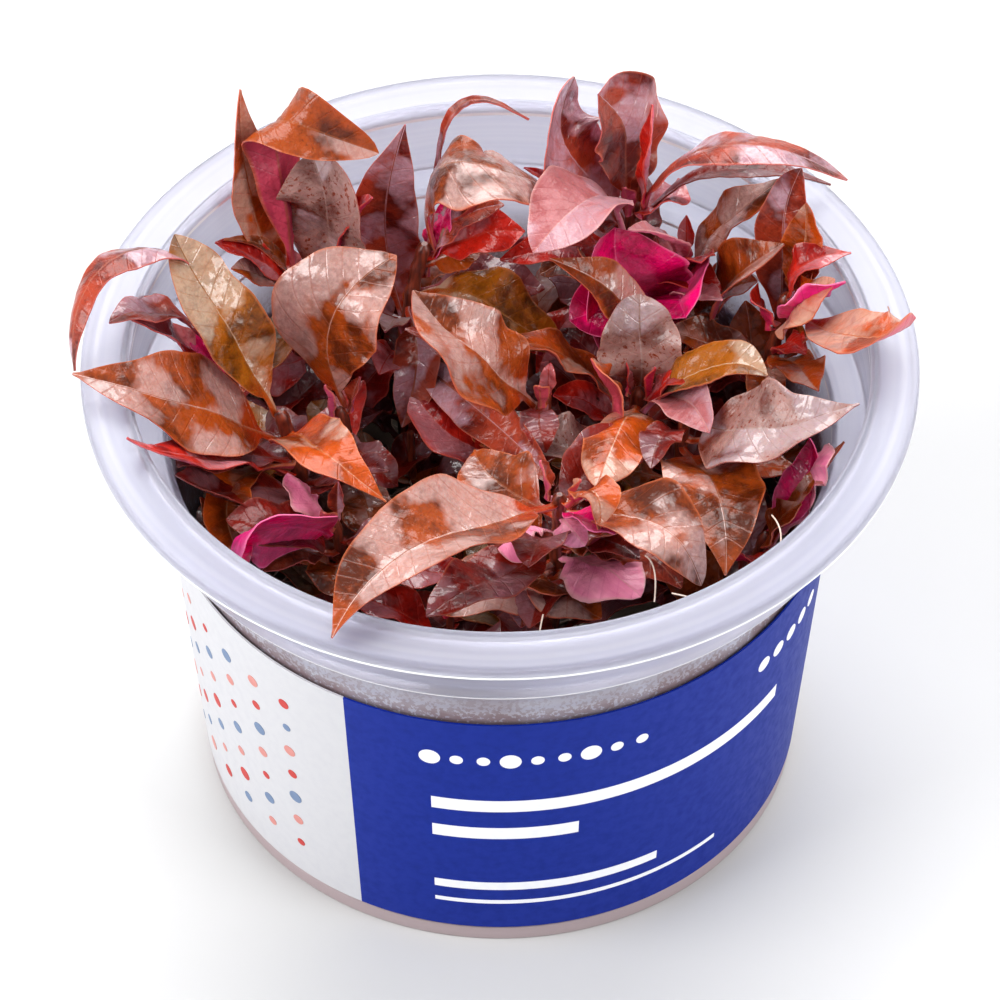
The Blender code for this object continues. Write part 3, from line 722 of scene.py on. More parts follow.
LEAF_FINISHES: dict[Tone, LeafFinish] = {
    Tone.MAUVE: LeafFinish("A03A22", "561612", "B63411", "A8644E", "C4664E", "D5547A", "A02D51", "C49AA8"),
    Tone.OLIVE: LeafFinish("98520A", "4A2402", "B83C0B", "A06432", "B8683C", "BB435A", "80213C", "C0A086"),
    Tone.BROWN: LeafFinish("9A400E", "4C1A04", "BA320A", "A05A36", "BE6038", "CC455E", "93233C", "C29890"),
    Tone.ORANGE: LeafFinish("B6480C", "722904", "C53A0A", "BE7040", "CC7044", "D54D62", "9E2D38", "CC9E8A"),
    Tone.RED: LeafFinish("BE2112", "7D0D0E", "DA2610", "C84C3C", "D55C48", "D11F51", "8F1236", "CC8088"),
    Tone.MAROON: LeafFinish("78180E", "460A0A", "8E1D0F", "783628", "94422E", "6B1A2F", "3C0B18", "885A60",
                            coat=0.8),
    Tone.SILVER: LeafFinish("8A3A22", "561E10", "993611", "98786A", "A86450", "B74767", "7C2740", "B49CA2",
                            silver_sheen=0.5),
    Tone.PINK: LeafFinish("B0696C", "9E5254", "C04D3A", "CC9286", "D8A09A", "FFA0BC", "DC6A94", "B8909A",
                          coat=0.4),
    Tone.MAGENTA: LeafFinish("E60767", "8D053A", "F70E5A", "EE5191", "FB80AD", "EE0E80", "AA0549", "F06A9C",
                             painted_sheen_share=0.4, coat=0.8),
}


@cache
def leaf_materials(tone: Tone) -> tuple[bpy.types.Material, bpy.types.Material]:
    """The upper and the underside material of a tone."""
    finish = LEAF_FINISHES[tone]
    return finish.upper(tone.value), finish.lower(tone.value)


class MeshPile:
    """Gathers the points, faces, measures and materials of one or more leaves into one mesh."""

    def __init__(self) -> None:
        """Start with nothing."""
        self.points: list[np.ndarray] = []
        self.faces: list[np.ndarray] = []
        self.slots: list[int] = []
        self.places: list[np.ndarray] = []
        self.blades: list[np.ndarray] = []
        self.materials: list[bpy.types.Material] = []

    def slot_of(self, material: bpy.types.Material) -> int:
        """The number of a material's slot, added where it is new."""
        if material not in self.materials:
            self.materials.append(material)
        return self.materials.index(material)

    def add(self, upper: np.ndarray, lower: np.ndarray, shares: np.ndarray, half: np.ndarray, tone: Tone,
            seed: int) -> None:
        """Add one blade, its two sides joined round the margin.

        Args:
            upper: The upper side's grid of points, in millimetres, with a row for each share.
            lower: The underside's grid.
            shares: Shares of the way from stem to tip.
            half: Half the width at each share.
            tone: The leaf's tone.
            seed: The leaf's own number.
        """
        rows, columns = upper.shape[:2]
        side = rows * columns
        top_slot, under_slot = (self.slot_of(material) for material in leaf_materials(tone))
        grid = np.arange(side).reshape(rows, columns)
        quads = np.stack([grid[:-1, :-1], grid[:-1, 1:], grid[1:, 1:], grid[1:, :-1]], -1).reshape(-1, 4)
        both = np.stack([quads, quads[:, ::-1] + side], 1).reshape(-1, 4)
        ring = np.concatenate([grid[0], grid[1:, -1], grid[-1, -2::-1], grid[-2:0:-1, 0]])
        after = np.roll(ring, -1)
        margin = np.stack([after, ring, side + ring, side + after], -1)
        first = sum(len(points) for points in self.points)
        self.faces.append(np.concatenate([both, margin]) + first)
        self.slots += [top_slot, under_slot] * len(quads) + [under_slot] * len(margin)
        self.points.append(np.concatenate([upper.reshape(-1, 3), lower.reshape(-1, 3)]))
        steps = np.linalg.norm(np.diff(upper[:, columns // 2], axis=0), axis=1)
        travelled = np.concatenate([[0.0], np.cumsum(steps)])
        share, place = np.meshgrid(shares, np.linspace(0.0, 1.0, columns), indexing="ij")
        span = (2.0 * place - 1.0) * half[:, None]
        number = np.full(place.shape, NOISE_STRIDE * seed)
        blade = np.stack([span, np.broadcast_to(travelled[:, None], span.shape), number], -1).reshape(-1, 3)
        self.places.append(np.tile(np.stack([place, share], -1).reshape(-1, 2), (2, 1)))
        self.blades.append(np.tile(blade, (2, 1)))

    def make(self, name: str) -> bpy.types.Object:
        """Make the gathered shells one object.

        Args:
            name: The object's name.

        Returns:
            The object, linked to the scene.
        """
        mesh = bpy.data.meshes.new(name)
        mesh.from_pydata((np.concatenate(self.points) * MM).tolist(), [], np.concatenate(self.faces).tolist())
        mesh.polygons.foreach_set("material_index", self.slots)
        for material in self.materials:
            mesh.materials.append(material)
        blade = mesh.attributes.new("blade_mm", "FLOAT_VECTOR", "POINT")
        blade.data.foreach_set("vector", np.concatenate(self.blades).astype(np.float32).ravel())
        layer = mesh.uv_layers.new(name="blade")
        corners = np.empty(len(mesh.loops), dtype=np.int32)
        mesh.loops.foreach_get("vertex_index", corners)
        layer.data.foreach_set("uv", np.concatenate(self.places)[corners].astype(np.float32).ravel())
        mesh.shade_smooth()
        mesh.set_sharp_from_angle(angle=math.radians(60.0))
        mesh.update()
        return link(name, mesh)


@dataclass(frozen=True)
class BladeShaper:
    """Shapes a leaf, in millimetres: its midrib curve, outline and fold, and the waves of a real blade."""

    rows: int = 44
    columns: int = 14
    thickness: float = 0.34
    margin_thickness: float = 0.16
    stalk_share: float = 0.1
    stalk_half: float = 0.55
    tip_half: float = 0.12
    stalk_gap: float = 0.45
    rooted: float = 0.45
    fold_power: float = 1.25
    wave: float = 0.7
    crumple: float = 0.6
    groove: float = 0.14
    groove_half: float = 0.4
    quilt: float = 0.05
    quilt_gap: float = 2.3
    quilt_lean: float = 0.7
    usual_length: float = 26.0
    full_width: float = 9.0
    fade_in: float = 0.12
    fade_out: float = 0.06
    stalk_round: float = 1.6
    ragged: float = 0.07
    ragged_paces: Pair = (1.7, 3.9)
    loose_twist: float = 9.0

    def base(self, leaf: Leaf, stem: Stem) -> tuple[np.ndarray, np.ndarray]:
        """Where the stalk leaves the stem, and the level way it leaves by.

        Args:
            leaf: The leaf.
            stem: The stem that carries it.

        Returns:
            The point and the direction.
        """
        axis = stem.at(stem.share_at(leaf.node))
        out = np.array(leaf.tip, float) - axis
        out[2] = 0.0
        out /= np.linalg.norm(out)
        return axis + out * (stem.radius + self.stalk_gap), out

    def half_widths(self, leaf: Leaf, shares: np.ndarray) -> np.ndarray:
        """Half the blade's width at each share of the way along.

        Args:
            leaf: The leaf.
            shares: Shares of the way from stem to tip.

        Returns:
            The half widths.
        """
        along = np.clip((shares - self.stalk_share) / (1.0 - self.stalk_share), 0.0, 1.0)
        rise = 2.0 * leaf.fullness * leaf.widest
        fall = 2.0 * leaf.fullness * (1.0 - leaf.widest)
        blade = 0.5 * leaf.width * (along / leaf.widest) ** rise
        blade *= ((1.0 - along) / (1.0 - leaf.widest)) ** fall
        return np.maximum(blade, self.stalk_half + (self.tip_half - self.stalk_half) * along)

    @staticmethod
    def spine(leaf: Leaf, base: np.ndarray, shares: np.ndarray, twist: float) -> tuple[np.ndarray, ...]:
        """The midrib's points, and the blade's across and face directions there.

        Args:
            leaf: The leaf.
            base: Where the stalk starts.
            shares: Shares of the way from stem to tip.
            twist: How far the blade turns from stalk to tip, in degrees.

        Returns:
            Centres, across directions and face directions.
        """
        tip = np.array(leaf.tip, float)
        chord = (tip - base) / np.linalg.norm(tip - base)
        flat = np.array([chord[0], chord[1], 0.0])
        flat /= np.linalg.norm(flat)
        up = np.array([0.0, 0.0, math.sqrt(1.0 - chord[2] ** 2)]) - flat * chord[2]
        side = np.cross(chord, up)
        guides = [base]
        for third, arch, sway, reach in zip((1, 2), leaf.arch, leaf.sway, leaf.reach):
            guides.append(base + (tip - base) * third / 3.0 + up * arch + side * sway + chord * reach)
        guides.append(tip)
        t = shares[:, None]
        rest = 1.0 - t
        centres = rest ** 3 * guides[0] + 3.0 * t * rest ** 2 * guides[1]
        centres += 3.0 * t ** 2 * rest * guides[2] + t ** 3 * guides[3]
        legs = [after - before for before, after in zip(guides, guides[1:])]
        along = rest ** 2 * legs[0] + 2.0 * t * rest * legs[1] + t ** 2 * legs[2]
        along /= np.linalg.norm(along, axis=1)[:, None]
        level = side - along * (along @ side)[:, None]
        level /= np.linalg.norm(level, axis=1)[:, None]
        normal = np.cross(level, along)
        roll = np.radians(leaf.roll + twist * (t - 0.5))
        across = level * np.cos(roll) + normal * np.sin(roll)
        face = normal * np.cos(roll) - level * np.sin(roll)
        return centres, across, face

    @staticmethod
    def folded_over(points: np.ndarray, pivot: np.ndarray, ahead: np.ndarray, toward: np.ndarray,
                    crease: Crease) -> np.ndarray:
        """Roll the far part of a blade over a crease, as a leaf that bends back on itself.

        Args:
            points: The blade's points.
            pivot: A point of the crease.
            ahead: The level way past the crease, square to it.
            toward: The side that the far part goes to.
            crease: The crease.

        Returns:
            The points, those past the crease carried over it.
        """
        turn = math.radians(crease.angle)
        past = np.maximum((points - pivot) @ ahead, 0.0)
        rise = (points - pivot) @ toward
        angle = np.minimum(past / crease.radius, turn)
        beyond = np.maximum(past - crease.radius * turn, 0.0)
        along = (crease.radius - rise) * np.sin(angle) + beyond * math.cos(turn)
        height = crease.radius - (crease.radius - rise) * np.cos(angle) + beyond * math.sin(turn)
        return points + (along - past)[..., None] * ahead + (height - rise)[..., None] * toward

    def unevenness(self, leaf: Leaf, shares: np.ndarray, places: np.ndarray, half: np.ndarray,
                   dice: random.Random) -> np.ndarray:
        """How far each point stands off the smooth blade: margin waves, soft crumples and the rib's groove.

        Args:
            leaf: The leaf.
            shares: Shares of the way from stem to tip.
            places: Places across the blade, from -1 to 1.
            half: Half the width at each share.
            dice: The leaf's own random numbers.

        Returns:
            Offsets along the face, one row for each share.
        """
        t, a = np.meshgrid(shares, places, indexing="ij")
        width = half[:, None]
        size = width / max(0.5 * leaf.width, 0.1)
        turns = dice.uniform(1.6, 3.2)
        start, flip = dice.uniform(0.0, math.tau), dice.uniform(0.6, 2.4)
        total = self.wave * a ** 2 * np.sin(math.tau * turns * t + start + flip * (a > 0.0)) * size
        for _ in range(3):
            lean, pace, shift = dice.uniform(-2.5, 2.5), dice.uniform(2.0, 7.0), dice.uniform(0.0, math.tau)
            total = total + self.crumple / 3.0 * np.sin(pace * t * 2.0 + lean * a * 1.6 + shift) * size
        groove = self.groove * np.exp(-(a * width / self.groove_half) ** 2)
        across_quilt = t * self.usual_length - np.abs(a) * width * self.quilt_lean
        quilt = self.quilt * np.cos(math.tau * across_quilt / self.quilt_gap)
        fade = np.clip((t - self.stalk_share) / self.fade_in, 0.0, 1.0)
        fade *= np.clip((1.0 - t) / self.fade_out, 0.0, 1.0)
        scale = min(1.0, leaf.width / self.full_width)
        return (total * scale - groove + quilt * size) * fade

    def shell(self, leaf: Leaf, stem: Stem, seed: int, pile: MeshPile) -> None:
        """Add the leaf to a pile as one thin closed shell.

        Args:
            leaf: The leaf.
            stem: The stem that carries it.
            seed: The leaf's own number.
            pile: The pile that takes it.
        """
        dice = random.Random(seed)
        base, out = self.base(leaf, stem)
        shares = np.linspace(0.0, 1.0, self.rows)
        places = np.linspace(-1.0, 1.0, self.columns + 1)
        half = self.half_widths(leaf, shares)
        centres, across, face = self.spine(leaf, base, shares, dice.gauss(0.0, self.loose_twist))
        fold = math.radians(leaf.fold)
        uneven = self.unevenness(leaf, shares, places, half, dice)
        lift = np.abs(places) ** self.fold_power * math.sin(fold)
        outline = np.ones((self.rows, len(places)))
        for pace in self.ragged_paces:
            shift = np.where(places > 0.0, dice.uniform(0.0, math.tau), dice.uniform(0.0, math.tau))
            outline += self.ragged / pace ** 0.5 * np.sin(math.tau * pace * shares[:, None] + shift[None, :])
        reach = (half[:, None] * outline)[..., None]
        middle = centres[:, None] + reach * (
            across[:, None] * (places * math.cos(fold))[None, :, None] + face[:, None] * lift[None, :, None]
        )
        middle += face[:, None] * uneven[..., None]
        thick = self.thickness + (self.margin_thickness - self.thickness) * np.abs(places)
        stalk = np.clip(1.0 - shares / (self.stalk_round * self.stalk_share), 0.0, 1.0)
        rounding = 0.5 * self.stalk_half * stalk[:, None] * (1.0 - places ** 2)[None, :]
        half_thick = (0.5 * thick[None, :] + rounding)[..., None]
        sides = [middle + face[:, None] * half_thick, middle - face[:, None] * half_thick]
        if leaf.crease is not None:
            row = round(leaf.crease.share * (self.rows - 1))
            skew = math.radians(leaf.crease.skew)
            ahead = np.cross(face[row], across[row]) * math.cos(skew) + across[row] * math.sin(skew)
            sides = [self.folded_over(side, centres[row], ahead, -face[row], leaf.crease) for side in sides]
        sides = [CupProfile().pressed(side) for side in sides]
        root = -out * (self.stalk_gap + self.rooted)
        upper, lower = (np.concatenate([side[:1] + root, side]) for side in sides)
        shares = np.concatenate([[0.0], shares])
        pile.add(upper, lower, shares, np.concatenate([half[:1], half]), leaf.tone, seed)


@dataclass(frozen=True)
class Foliage:
    """The big leaves, each in the place of its solid, and the smaller ones between them."""

    shaper: BladeShaper = BladeShaper()
    plain_shaper: BladeShaper = BladeShaper(rows=26, columns=8)

    def big_leaves(self) -> list[bpy.types.Object]:
        """Make each leaf that has a solid, as its own piece.

        Returns:
            The pieces.
        """
        made = []
        for stem_name, leaves in LEAVES.items():
            for number, leaf in enumerate(leaves, 1):
                pile = MeshPile()
                self.shaper.shell(leaf, STEMS[stem_name], len(made) + 1, pile)
                piece = pile.make(f"blade_{stem_name}_{number}")
                made.append(settle(piece, f"leaf_{stem_name}_{number}"))
        return made

    def small_leaves(self) -> list[bpy.types.Object]:
        """Make the leaves that have no solid, one piece for each stem.

        Returns:
            The pieces.
        """
        made = []
        for order, (stem_name, stem) in enumerate({**STEMS, **SIDE_SHOOTS}.items()):
            pile = MeshPile()
            for number, leaf in enumerate(EXTRA_LEAVES.get(stem_name, ())):
                self.shaper.shell(leaf, stem, 100 + 20 * order + number, pile)
            for number, leaf in enumerate(Undergrowth(stem, order).leaves()):
                self.plain_shaper.shell(leaf, stem, 1000 + 20 * order + number, pile)
            made.append(settle(pile.make(f"small_leaves_{stem_name}")))
        return made


@dataclass(frozen=True)
class Undergrowth:
    """The lower leaf pairs of one stem, and the bud at its top. Ranges are lowest and highest."""

    stem: Stem
    order: int
    lowest: float = 28.5
    start_up: float = 2.0
    gap: float = 4.4
    stray_deg: float = 18.0
    below_top: float = 7.0
    clearance: float = 1.3
    length: Pair = (11.0, 18.0)
    tilt_deg: Pair = (5.0, 42.0)
    width: Pair = (5.5, 9.0)
    tones: tuple[Tone, ...] = (Tone.MAROON, Tone.MAROON, Tone.BROWN, Tone.RED, Tone.OLIVE)
    bud_lean: Pair = (1.8, 3.0)
    bud_rise: Pair = (3.5, 6.0)
    bud_width: Pair = (1.8, 2.6)
    bud_tones: tuple[Tone, ...] = (Tone.RED, Tone.ORANGE, Tone.MAUVE)

    def leaves(self) -> list[Leaf]:
        """Work out the pairs, each turned a quarter from the pair below, and a bud on two stems in three.

        Returns:
            The leaves.
        """
        dice = random.Random(900 + self.order)
        found = []
        height = self.lowest + dice.uniform(0.0, self.start_up)
        turn = dice.uniform(0.0, 180.0)
        while height < self.stem.top[2] - self.below_top:
            for half_turn in (0.0, 180.0):
                stray = dice.uniform(-self.stray_deg, self.stray_deg)
                found.append(self.one(height, math.radians(turn + half_turn + stray), dice))
            height += self.gap
            turn += 90.0
        if self.order % 3 != 1:
            found += [self.bud(math.radians(turn + half_turn), dice) for half_turn in (0.0, 180.0)]
        return found

    def one(self, height: float, angle: float, dice: random.Random) -> Leaf:
        """One lower leaf, kept inside the cup's wall.

        Args:
            height: The height of its stalk.
            angle: The way it points, in radians.
            dice: The stem's random numbers.

        Returns:
            The leaf.
        """
        axis = self.stem.at(self.stem.share_at(height))
        length = dice.uniform(*self.length)
        tilt = math.radians(dice.uniform(*self.tilt_deg))
        rise = length * math.sin(tilt)
        wall = CupProfile().inside(height + rise) - self.clearance
        reach = length * math.cos(tilt)
        x, y = axis[0] + reach * math.cos(angle), axis[1] + reach * math.sin(angle)
        out = math.hypot(x, y)
        if out > wall:
            x, y = x * wall / out, y * wall / out
        tone = dice.choice(self.tones)
        return Leaf(height, (x, y, height + rise), dice.uniform(*self.width), tone,
                    (dice.uniform(0.5, 2.0), dice.uniform(1.0, 3.0)), (dice.uniform(-1.5, 1.5), 0.0),
                    dice.uniform(-15.0, 15.0), dice.uniform(8.0, 20.0), widest=0.48, fullness=0.8)

    def bud(self, angle: float, dice: random.Random) -> Leaf:
        """One of the two young leaves that stand at the stem's top.

        Args:
            angle: The way it leans, in radians.
            dice: The stem's random numbers.

        Returns:
            The leaf.
        """
        x, y, z = self.stem.top
        lean = dice.uniform(*self.bud_lean)
        tip = (x + lean * math.cos(angle), y + lean * math.sin(angle), z + dice.uniform(*self.bud_rise))
        tone = dice.choice(self.bud_tones)
        return Leaf(z - 0.6, tip, dice.uniform(*self.bud_width), tone, (0.3, 0.5), fold=25.0)


@dataclass(frozen=True)
class CupProfile:
    """The cup's driving sizes, as in the solids, and its skin from them."""

    rim: float = 50.0
    rim_height: float = 64.5
    flange: float = 1.0
    lip_drop: float = 1.9
    lip: float = 0.8
    bead_height: float = 0.4
    bead_width: float = 0.8
    collar: float = 45.0
    collar_wall: float = 0.8
    ledge_height: float = 54.0
    ledge: float = 0.8
    step: float = 41.2
    step_height: float = 0.5
    foot: float = 36.7
    taper: float = 0.0765
    wall: float = 0.8
    floor: float = 1.2
    foot_ring: float = 0.55
    foot_ring_height: float = 2.3
    corner: float = 0.3
    corner_share: float = 0.45
    under_pole: float = 3.2
    floor_pole: float = 4.0
    leaf_gap: float = 0.25
    leaf_give: float = 1.2
    eased_below: float = 1.0
    eased_above: float = 2.0
    free_rim: float = 0.5

    def outside(self, height: float) -> float:
        """The wall's outer radius at a height below the ledge."""
        return self.foot + self.taper * height

    def inside(self, height: float) -> float:
        """The clear radius inside the cup at a height."""
        if height > self.ledge_height:
            return self.collar - self.collar_wall
        return self.outside(height) - self.wall

    def pressed(self, points: np.ndarray) -> np.ndarray:
        """Bring points that would pass the wall back inside it, as a soft leaf lies against the wall.

        Args:
            points: Points, in millimetres.

        Returns:
            The points, moved level toward the cup's axis where they need it.
        """
        radius = np.hypot(points[..., 0], points[..., 1])
        height = points[..., 2]
        wall = self.outside(np.minimum(height, self.ledge_height - self.eased_below)) - self.wall
        wall = np.where(height > self.ledge_height + self.eased_above, self.collar - self.collar_wall, wall)
        start = wall - self.leaf_gap - self.leaf_give
        over = np.maximum(radius - start, 0.0)
        eased = start + self.leaf_give * (1.0 - np.exp(-over / self.leaf_give))
        meets = (over > 0.0) & (height < self.rim_height - self.free_rim)
        share = np.where(meets, eased / np.maximum(radius, 1.0), 1.0)
        moved = points.copy()
        moved[..., :2] *= share[..., None]
        return moved

    def points(self) -> list[Point]:
        """Radius, height and corner rounding along the skin, from the underside round the rim to the floor.

        Returns:
            The points, in millimetres.
        """
        under = self.rim_height - self.flange
        lip_bottom = self.rim_height - self.lip_drop
        collar_in = self.collar - self.collar_wall
        ledge_bottom = self.ledge_height - self.ledge
        c = self.corner
        return [
            (self.outside(0.0) - self.under_pole, 0.0, 0.0), (self.outside(0.0) + self.foot_ring, 0.0, 0.45),
            (self.outside(0.0) + self.foot_ring, self.foot_ring_height, c),
            (self.outside(self.foot_ring_height), self.foot_ring_height, 0.1),
            (self.outside(ledge_bottom), ledge_bottom, c), (self.collar, ledge_bottom, 1.0),
            (self.collar, under, 0.5), (self.rim - self.lip, under, 0.25),
            (self.rim - self.lip, lip_bottom, 0.2), (self.rim, lip_bottom, 0.25),
            (self.rim, self.rim_height, 0.55), (collar_in + self.bead_width, self.rim_height, c),
            (collar_in + 0.5 * self.bead_width, self.rim_height + self.bead_height, c),
            (collar_in, self.rim_height, 0.2), (collar_in, self.ledge_height + self.ledge, 0.6),
            (self.step, self.ledge_height + self.step_height, c),
            (self.outside(self.ledge_height) - self.wall, self.ledge_height, 0.35),
            (self.inside(self.floor), self.floor, 1.6),
            (self.inside(self.floor) - self.floor_pole, self.floor, 0.0),
        ]

    def rounded(self, steps: int = 4) -> list[Pair]:
        """The skin with each corner drawn as a short curve.

        Args:
            steps: How many pieces each corner has.

        Returns:
            Radius and height of each point, in millimetres.
        """
        raw = self.points()
        found: list[Pair] = []
        for index, (radius, height, corner) in enumerate(raw):
            here = np.array([radius, height])
            if corner == 0.0:
                found.append((radius, height))
                continue
            before = np.array(raw[index - 1][:2]) - here
            after = np.array(raw[index + 1][:2]) - here
            near = min(corner, *(self.corner_share * np.linalg.norm(way) for way in (before, after)))
            start = here + before / np.linalg.norm(before) * near
            end = here + after / np.linalg.norm(after) * near
            for t in np.linspace(0.0, 1.0, steps + 1):
                point = (1.0 - t) ** 2 * start + 2.0 * t * (1.0 - t) * here + t * t * end
                found.append((float(point[0]), float(point[1])))
        return found


@dataclass(frozen=True)
class PolypropyleneFinish:
    """Clear-to-milky random-copolymer polypropylene, injection moulded.

    Its crystals scatter light, which gives a soft haze and a slight blue-white cast. Two sharp bends of the
    moulding get thin white lines of painted highlight, and the damp inside dulls the wall below the ledge.
    """

    haze: str = "DCDCEA"
    streak: str = "C8C9DE"
    stain: str = "A08A90"
    painted_highlight: str = "FFFFFF"
    gel_show: str = "BDAAAD"
    clear_share: float = 0.84
    stained_share: float = 0.45
    foot_share: float = 0.25
    flow_mm: float = 1.1
    damp_mm: float = 6.0
    fleck_mm: float = 0.5
    highlight_heights: Pair = (62.85, 53.6)
    highlight_half: float = 0.22

    def material(self) -> bpy.types.Material:
        """The moulded plastic, with flow haze, painted highlight lines at two bends, and damp and specks
        inside.

        Returns:
            The material.
        """
        skin = Surface("moulded_polypropylene_milky", self.haze)
        add = skin.add
        place = add("ShaderNodeTexCoord").outputs["Object"]
        height = add("ShaderNodeSeparateXYZ", (place,)).outputs["Z"]
        flat = add("ShaderNodeVectorMath", (place, (1.0, 1.0, 0.0)), operation="MULTIPLY")
        radius = add("ShaderNodeVectorMath", (flat,), operation="LENGTH")
        turned = add("ShaderNodeCombineXYZ", (radius, height))
        # Real flow marks and specks are finer. These are as coarse as they need to be to show.
        rings, clouds, grains = (
            add("ShaderNodeTexNoise", {"Vector": where, "Scale": 1.0 / (size * MM), "Detail": detail})
            for where, size, detail in (
                (turned, self.flow_mm, 2.0), (place, self.damp_mm, 4.0), (place, self.fleck_mm, 2.0),
            )
        )
        below_ledge = add("ShaderNodeMapRange", (height, 52.0 * MM, 45.0 * MM, 0.0, 1.0))
        near_film = add("ShaderNodeMapRange", (height, 46.5 * MM, 44.0 * MM, 0.47, 0.62))
        near_foot = add("ShaderNodeMapRange", (height, 8.0 * MM, 3.0 * MM, 0.0, 1.0))
        damp = add("ShaderNodeMapRange", (clouds, 0.42, 0.64, 0.0, 0.5))
        flecks = add("ShaderNodeMath", (grains, near_film), operation="LESS_THAN")
        flecks_here = add("ShaderNodeMath", (flecks, below_ledge), operation="MULTIPLY")
        specks = add("ShaderNodeMath", (flecks_here, 0.7, damp), operation="MULTIPLY_ADD")
        # Thin white lines of painted highlight at two bends, where the plastic is also less clear.
        painted_highlights = 0.0
        for level in self.highlight_heights:
            line = add("ShaderNodeMath", (height, level * MM, self.highlight_half * MM), operation="COMPARE")
            painted_highlights = add("ShaderNodeMath", (line, painted_highlights), operation="ADD")
        skin.coat(add("ShaderNodeMapRange", (rings, 0.4, 0.62, 0.0, 0.5)), self.streak)
        skin.coat(add("ShaderNodeMath", (below_ledge, specks), operation="MULTIPLY"), self.stain)
        skin.coat(painted_highlights, self.painted_highlight)
        skin.coat(near_foot, self.gel_show)
        clear = add("ShaderNodeMapRange", (below_ledge, 0.0, 1.0, self.clear_share, self.stained_share))
        foot_loss = self.foot_share - self.stained_share
        milky = add("ShaderNodeMath", (near_foot, foot_loss, clear), operation="MULTIPLY_ADD")
        return skin.finish({
            "Transmission Weight": add("ShaderNodeMath", (painted_highlights, -0.7, milky), operation="MULTIPLY_ADD"),
            "Roughness": add("ShaderNodeMapRange", (rings, 0.35, 0.65, 0.34, 0.44)),
            "IOR": 1.49, "Specular IOR Level": 0.3,
        })


@dataclass(frozen=True)
class Cup:
    """The cup, one moulding turned about the Z axis."""

    profile: CupProfile = CupProfile()
    sides: int = 192
    finish: PolypropyleneFinish = PolypropyleneFinish()

    def build(self) -> bpy.types.Object:
        """Turn the rounded profile and close its two poles."""
        rings = [circle(radius, height, self.sides) for radius, height in self.profile.rounded()]
        return settle(loft("cup_moulding", [rings], [self.finish.material()], 35.0), "cup")


@dataclass(frozen=True)
class FilmFinish:
    """Printed and varnished polypropylene label film.

    The ink is a fine screen of dots, which gives an even colour with a faint mottle, and the varnish over it
    gives a satin sheen.
    """

    name: str
    ink: str
    shade: str
    mottle_mm: float = 1.2

    def material(self) -> bpy.types.Material:
        """The printed film.

        Returns:
            The material.
        """
        film = Surface(self.name, self.ink)
        place = film.add("ShaderNodeTexCoord").outputs["Object"]
        # The screen is too fine to show, so its mottle is drawn about ten times as coarse.
        mottle = film.add("ShaderNodeTexNoise", {
            "Vector": place, "Scale": 1.0 / (self.mottle_mm * MM), "Detail": 3.0,
        })
        film.coat(film.add("ShaderNodeMapRange", (mottle, 0.4, 0.75, 0.0, 0.5)), self.shade)
        return film.finish({
            "Roughness": film.add("ShaderNodeMapRange", (mottle, 0.3, 0.7, 0.44, 0.56)),
            "IOR": 1.33, "Specular IOR Level": 0.3,
        })


class Panel(Enum):
    """The label's two grounds."""

    BLUE = 0
    WHITE = 1


